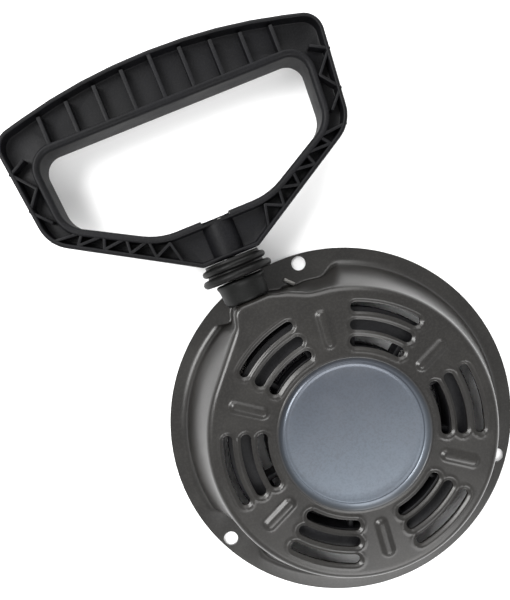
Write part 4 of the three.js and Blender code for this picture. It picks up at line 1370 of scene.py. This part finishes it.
class STARTER_OT_centre(bpy.types.Operator):
    """Centre post, bolt, washer, sleeve, friction spring and the guide's clip"""

    bl_idname = "starter.centre"
    bl_label = "Centre post and bolt"

    def execute(self, context):
        corners = [(2.6, 6.2, 0.1), (8.0, 6.2, 0.4), (8.0, 12.8, 0.1), (9.0, 12.8, 0.3), (9.0, 23.3, 0.6)]
        corners += [(15.0, 23.3, 0.4), (15.0, 24.8, 0.3), (2.6, 24.8, 0.1)]
        post = turned("post", [tuple(p) for p in filleted(corners, 30)], 96)
        cut(post, box((5.4, -0.8, 12.0), (11.0, 0.8, 23.1)))
        settle(shade(post, 35), "post", "housing", look("zinc"), ["centre_post"])
        head = cylinder(10 / math.sqrt(3), 0.4, 2.2, 6)
        modify(head, "BEVEL", width=0.3 * MM, segments=2, limit_method="NONE")
        cone = turned("cone", [(0, 0.35), (4.55, 0.35), (5.9, 1.15), (5.9, 2.2), (0, 2.2)], 64, closed=False)
        cut(head, tidy_normals(cone), "INTERSECT")
        thread = [(0, 1.9)]
        z = 2.15
        while z < 18.6:
            thread += [(2.5, z), (2.5, z + 0.15), (2.15, z + 0.4), (2.15, z + 0.5)]
            z += 0.8
        thread += [(2.0, 19.0), (0, 19.0)]
        shank = tidy_normals(turned("shank", thread, 32, closed=False))
        bolt = cut(head, shank, "UNION")
        settle(shade(bolt, 30), "bolt", "housing", look("zinc"), ["centre_bolt"])
        washer = ring("washer", 2.8, 7.0, 2.2, 2.9, 0.12, 64)
        settle(washer, "washer", "housing", look("steel"), ["thrust_washer"])
        sleeve = ring("sleeve", 2.8, 4.2, 2.9, 6.2, 0.15, 64)
        settle(sleeve, "sleeve", "housing", look("steel"), ["guide_sleeve"])
        fresh()
        bpy.ops.mesh.primitive_torus_add(
            location=(0, 0, 5.6 * MM),
            major_radius=5.75 * MM,
            minor_radius=0.47 * MM,
            major_segments=72,
            minor_segments=12,
        )
        wire = shade(placed(None), 60)
        settle(wire, "friction_ring", "housing", look("spring"), ["friction_spring"])
        place = rope_matrix(context, along_z=True)
        clip = turned("clip", [(6.08, 69.1), (7.5, 69.1), (7.5, 70.1), (6.08, 70.1)], 64, place)
        gap = box((-1.4, 0, 68.5), (1.4, 9, 71))
        gap.data.transform(place)
        cut(clip, gap)
        settle(shade(clip, 35), "clip", "housing", look("steel"), ["guide_clip"])
        return {"FINISHED"}


class STARTER_OT_pawls(bpy.types.Operator):
    """Two pawls on their pins, their coil springs, and the plate that steers them"""

    bl_idname = "starter.pawls"
    bl_label = "Pawls and plate"

    def execute(self, context):
        for letter, turn in (("a", 0.0), ("b", math.pi)):
            about = Matrix.Rotation(turn, 4, "Z")
            pawl = self.pawl()
            pawl.data.transform(about)
            name = "pawl_" + letter
            settle(shade(pawl, 35), name + "_part", name, look("sinter"), [name])
            profile = [(0, 5.3), (1.7, 5.3), (2.0, 5.6), (2.0, 12.5), (0, 12.5)]
            place = about @ Matrix.Translation((PIVOT * MM, 0, 0))
            pin = tidy_normals(turned("pin", profile, 32, place, closed=False))
            name = "pawl_pin_" + letter
            settle(shade(pin, 35), name + "_part", "reel", look("steel"), [name])
            path = []
            for i in range(57):
                a = 1.75 * TURN * i / 56
                path.append((PIVOT + 2.9 * math.cos(a), 2.9 * math.sin(a), 8.95 + 1.15 * i / 56))
            path.append((path[-1][0] + 2.2, path[-1][1] - 0.4, 10.1))
            coil = tube("coil", path, 0.35, 10)
            coil.data.transform(about)
            name = "pawl_spring_" + letter
            settle(shade(coil, 60), name + "_part", "reel", look("spring"), [name])
        settle(self.plate(), "plate_part", "ratchet", look("zinc"), ["ratchet_guide"])
        return {"FINISHED"}

    def pawl(self):
        tip = Vector((-math.sin(PAWL_LEAN), -math.cos(PAWL_LEAN))) * PAWL_LENGTH
        outline = arc((0, 0), 4.2, -20, 200, 24)
        outline += [(tip.x - 2.4, tip.y + 3), (tip.x - 1.8, tip.y), (tip.x + 2.4, tip.y + 0.6)]
        body = prism(outline, 5.5, 8.3)
        modify(body, "BEVEL", width=0.3 * MM, segments=2, limit_method="ANGLE", angle_limit=math.radians(40))
        a = -math.pi / 2 - PAWL_LEAN
        peg = cylinder(1.2, 3.0, 6.0, 24, (PEG_REACH * math.cos(a), PEG_REACH * math.sin(a)))
        cut(body, peg, "UNION")
        cut(body, cylinder(2.08, 4, 10, 32))
        body.data.transform(Matrix.Translation((PIVOT * MM, 0, 0)))
        return body

    def plate(self):
        profile = [(4.28, 3.55), (4.45, 3.4), (30.1, 3.4), (30.5, 3.8)]
        profile += [(30.5, 4.6), (30.1, 5.0), (4.45, 5.0), (4.28, 4.85)]
        plate = turned("plate", profile, 128)
        tools = []
        for turn in (0.0, math.pi):
            for i in range(13):
                t = i / 12
                a = -math.pi / 2 - PAWL_LEAN + math.radians(28) * t
                spot = Vector((PIVOT + PEG_REACH * math.cos(a), PEG_REACH * math.sin(a)))
                spot.rotate(Matrix.Rotation(turn - math.radians(30) * t, 2))
                tools.append(cylinder(1.6, 2, 7, 20, spot))
            outline = arc((0, 0), 18, -34, 34, 24) + arc((0, 0), 11, 34, -34, 24)
            tools.append(prism(outline, 2, 7, Matrix.Rotation(turn + math.pi / 2, 4, "Z")))
        cut(plate, join(*tools), crossing=True)
        return shade(plate, 35)


class STARTER_OT_knot_washer(bpy.types.Operator):
    """Steel washer under the knot in the handle"""

    bl_idname = "starter.knot_washer"
    bl_label = "Knot washer"

    def execute(self, context):
        place = rope_matrix(context, along_z=True)
        seat = HANDLE_FOOT + KNOT_SEAT
        profile = [(2.3, seat + 0.1), (2.4, seat), (5.5, seat), (5.6, seat + 0.1), (5.6, seat + 1.1)]
        profile += [(5.5, seat + 1.2), (2.4, seat + 1.2), (2.3, seat + 1.1)]
        washer = turned("knot_seat", profile, 64, place)
        settle(shade(washer, 40), "knot_seat", "handle", look("steel"), ["knot_washer"])
        return {"FINISHED"}


class STARTER_OT_nick(bpy.types.Operator):
    """Bare bright tab lifted from the cover's root beside the spout"""

    bl_idname = "starter.nick"
    bl_label = "Bare tab"

    def execute(self, context):
        tab = box((-2.9, -0.9, 1.15), (2.9, 0.9, 2.2))
        modify(tab, "BEVEL", width=0.45 * MM, segments=3, limit_method="NONE")
        lean = Matrix.Rotation(math.radians(-40), 4, "Z") @ Matrix.Rotation(math.radians(14), 4, "X")
        tab.data.transform(Matrix.Translation((-0.0065, 0.0713, 0.0004)) @ lean)
        settle(shade(tab, 40), "bare_tab", "housing", look("sinter"), [])
        return {"FINISHED"}


# ------------------------------------------------------------------ stage and light
# Area lights: name, place and size in metres, power in watts.
LIGHTS = (
    ("key", (-0.7, 0.5, 1.0), 0.6, 19.0),
    ("back", (0.2, 1.3, 0.7), 1.2, 18.0),
    ("low", (0.1, -1.0, 1.0), 0.8, 13.0),
)
LIGHT_TARGET = (-0.01, 0.05, 0.01)
CAMERA_PLACE = (-0.038735, 0.086718, 0.306531)
CAMERA_RIGHT = (0.9579, -0.2801, 0.0622)
CAMERA_BACK = (-0.0462, 0.0633, 0.9969)
LENS = 39.0
SENSOR = 36.0


class STARTER_OT_stage(bpy.types.Operator):
    """Pale floor, soft light and the camera"""

    bl_idname = "starter.stage"
    bl_label = "Stage"

    def execute(self, context):
        fresh()
        bpy.ops.mesh.primitive_plane_add(size=6, location=(0, 0, -0.0005))
        floor = bpy.context.object
        floor.name = "floor"
        made = bpy.data.materials.new("Pale floor")
        made.use_nodes = True
        tree = made.node_tree
        shader = tree.nodes["Principled BSDF"]
        where = node(tree, "ShaderNodeTexCoord").outputs["Object"]
        soft = noise(tree, where, 3.0)
        cloud = math_node(tree, "MULTIPLY", soft, 0.1)
        tone = mix_colors(tree, cloud, (1.0, 1.0, 1.0, 1), (0.97, 0.97, 0.97, 1))
        tree.links.new(tone, shader.inputs["Base Color"])
        shader.inputs["Roughness"].default_value = 0.9
        shader.inputs["Specular IOR Level"].default_value = 0.1
        floor.data.materials.append(made)
        world = bpy.data.worlds.new("Studio")
        context.scene.world = world
        world.use_nodes = True
        world.node_tree.nodes["Background"].inputs["Color"].default_value = (1, 1, 1, 1)
        world.node_tree.nodes["Background"].inputs["Strength"].default_value = 0.9
        for name, place, size, power in LIGHTS:
            self.panel(name, place, size, power)
        self.camera(context)
        context.scene.view_settings.view_transform = "Standard"
        return {"FINISHED"}

    def panel(self, name, place, size, power):
        data = bpy.data.lights.new(name, "AREA")
        data.shape = "SQUARE"
        data.size = size
        data.energy = power
        lamp = bpy.data.objects.new(name, data)
        bpy.context.scene.collection.objects.link(lamp)
        lamp.location = place
        lamp.rotation_mode = "QUATERNION"
        target = Vector(LIGHT_TARGET)
        lamp.rotation_quaternion = (target - Vector(place)).to_track_quat("-Z", "Y")

    def camera(self, context):
        data = bpy.data.cameras.new("camera")
        data.lens = LENS
        data.sensor_width = SENSOR
        data.clip_start = 0.01
        camera = bpy.data.objects.new("camera", data)
        context.scene.collection.objects.link(camera)
        right = Vector(CAMERA_RIGHT).normalized()
        back = Vector(CAMERA_BACK).normalized()
        up = back.cross(right).normalized()
        right = up.cross(back).normalized()
        turn = Matrix((right, up, back)).transposed().to_4x4()
        camera.matrix_world = Matrix.Translation(CAMERA_PLACE) @ turn
        context.scene.camera = camera


STEPS = (
    STARTER_OT_cover,
    STARTER_OT_guide,
    STARTER_OT_bumper,
    STARTER_OT_handle,
    STARTER_OT_rope,
    STARTER_OT_reel,
    STARTER_OT_centre,
    STARTER_OT_pawls,
    STARTER_OT_knot_washer,
    STARTER_OT_nick,
    STARTER_OT_stage,
)


class STARTER_PT_panel(bpy.types.Panel):
    """The starter's settings and steps"""

    bl_idname = "STARTER_PT_panel"
    bl_label = "Recoil starter"
    bl_space_type = "VIEW_3D"
    bl_region_type = "UI"
    bl_category = "Starter"

    def draw(self, context):
        layout = self.layout
        for name in ("starter_rope", "starter_cover", "starter_handle"):
            settings = getattr(context.scene, name)
            column = layout.column(align=True)
            for key in settings.__annotations__:
                column.prop(settings, key)
        for step in STEPS:
            layout.operator(step.bl_idname)


CLASSES = (StarterRopeLine, StarterCover, StarterHandle, *STEPS, STARTER_PT_panel)


def register():
    for cls in CLASSES:
        bpy.utils.register_class(cls)
    bpy.types.Scene.starter_rope = PointerProperty(type=StarterRopeLine)
    bpy.types.Scene.starter_cover = PointerProperty(type=StarterCover)
    bpy.types.Scene.starter_handle = PointerProperty(type=StarterHandle)


def unregister():
    del bpy.types.Scene.starter_handle
    del bpy.types.Scene.starter_cover
    del bpy.types.Scene.starter_rope
    for cls in reversed(CLASSES):
        bpy.utils.unregister_class(cls)


def main():
    register()
    for step in STEPS:
        group, name = step.bl_idname.split(".")
        getattr(getattr(bpy.ops, group), name)()


if __name__ == "__main__":
    main()
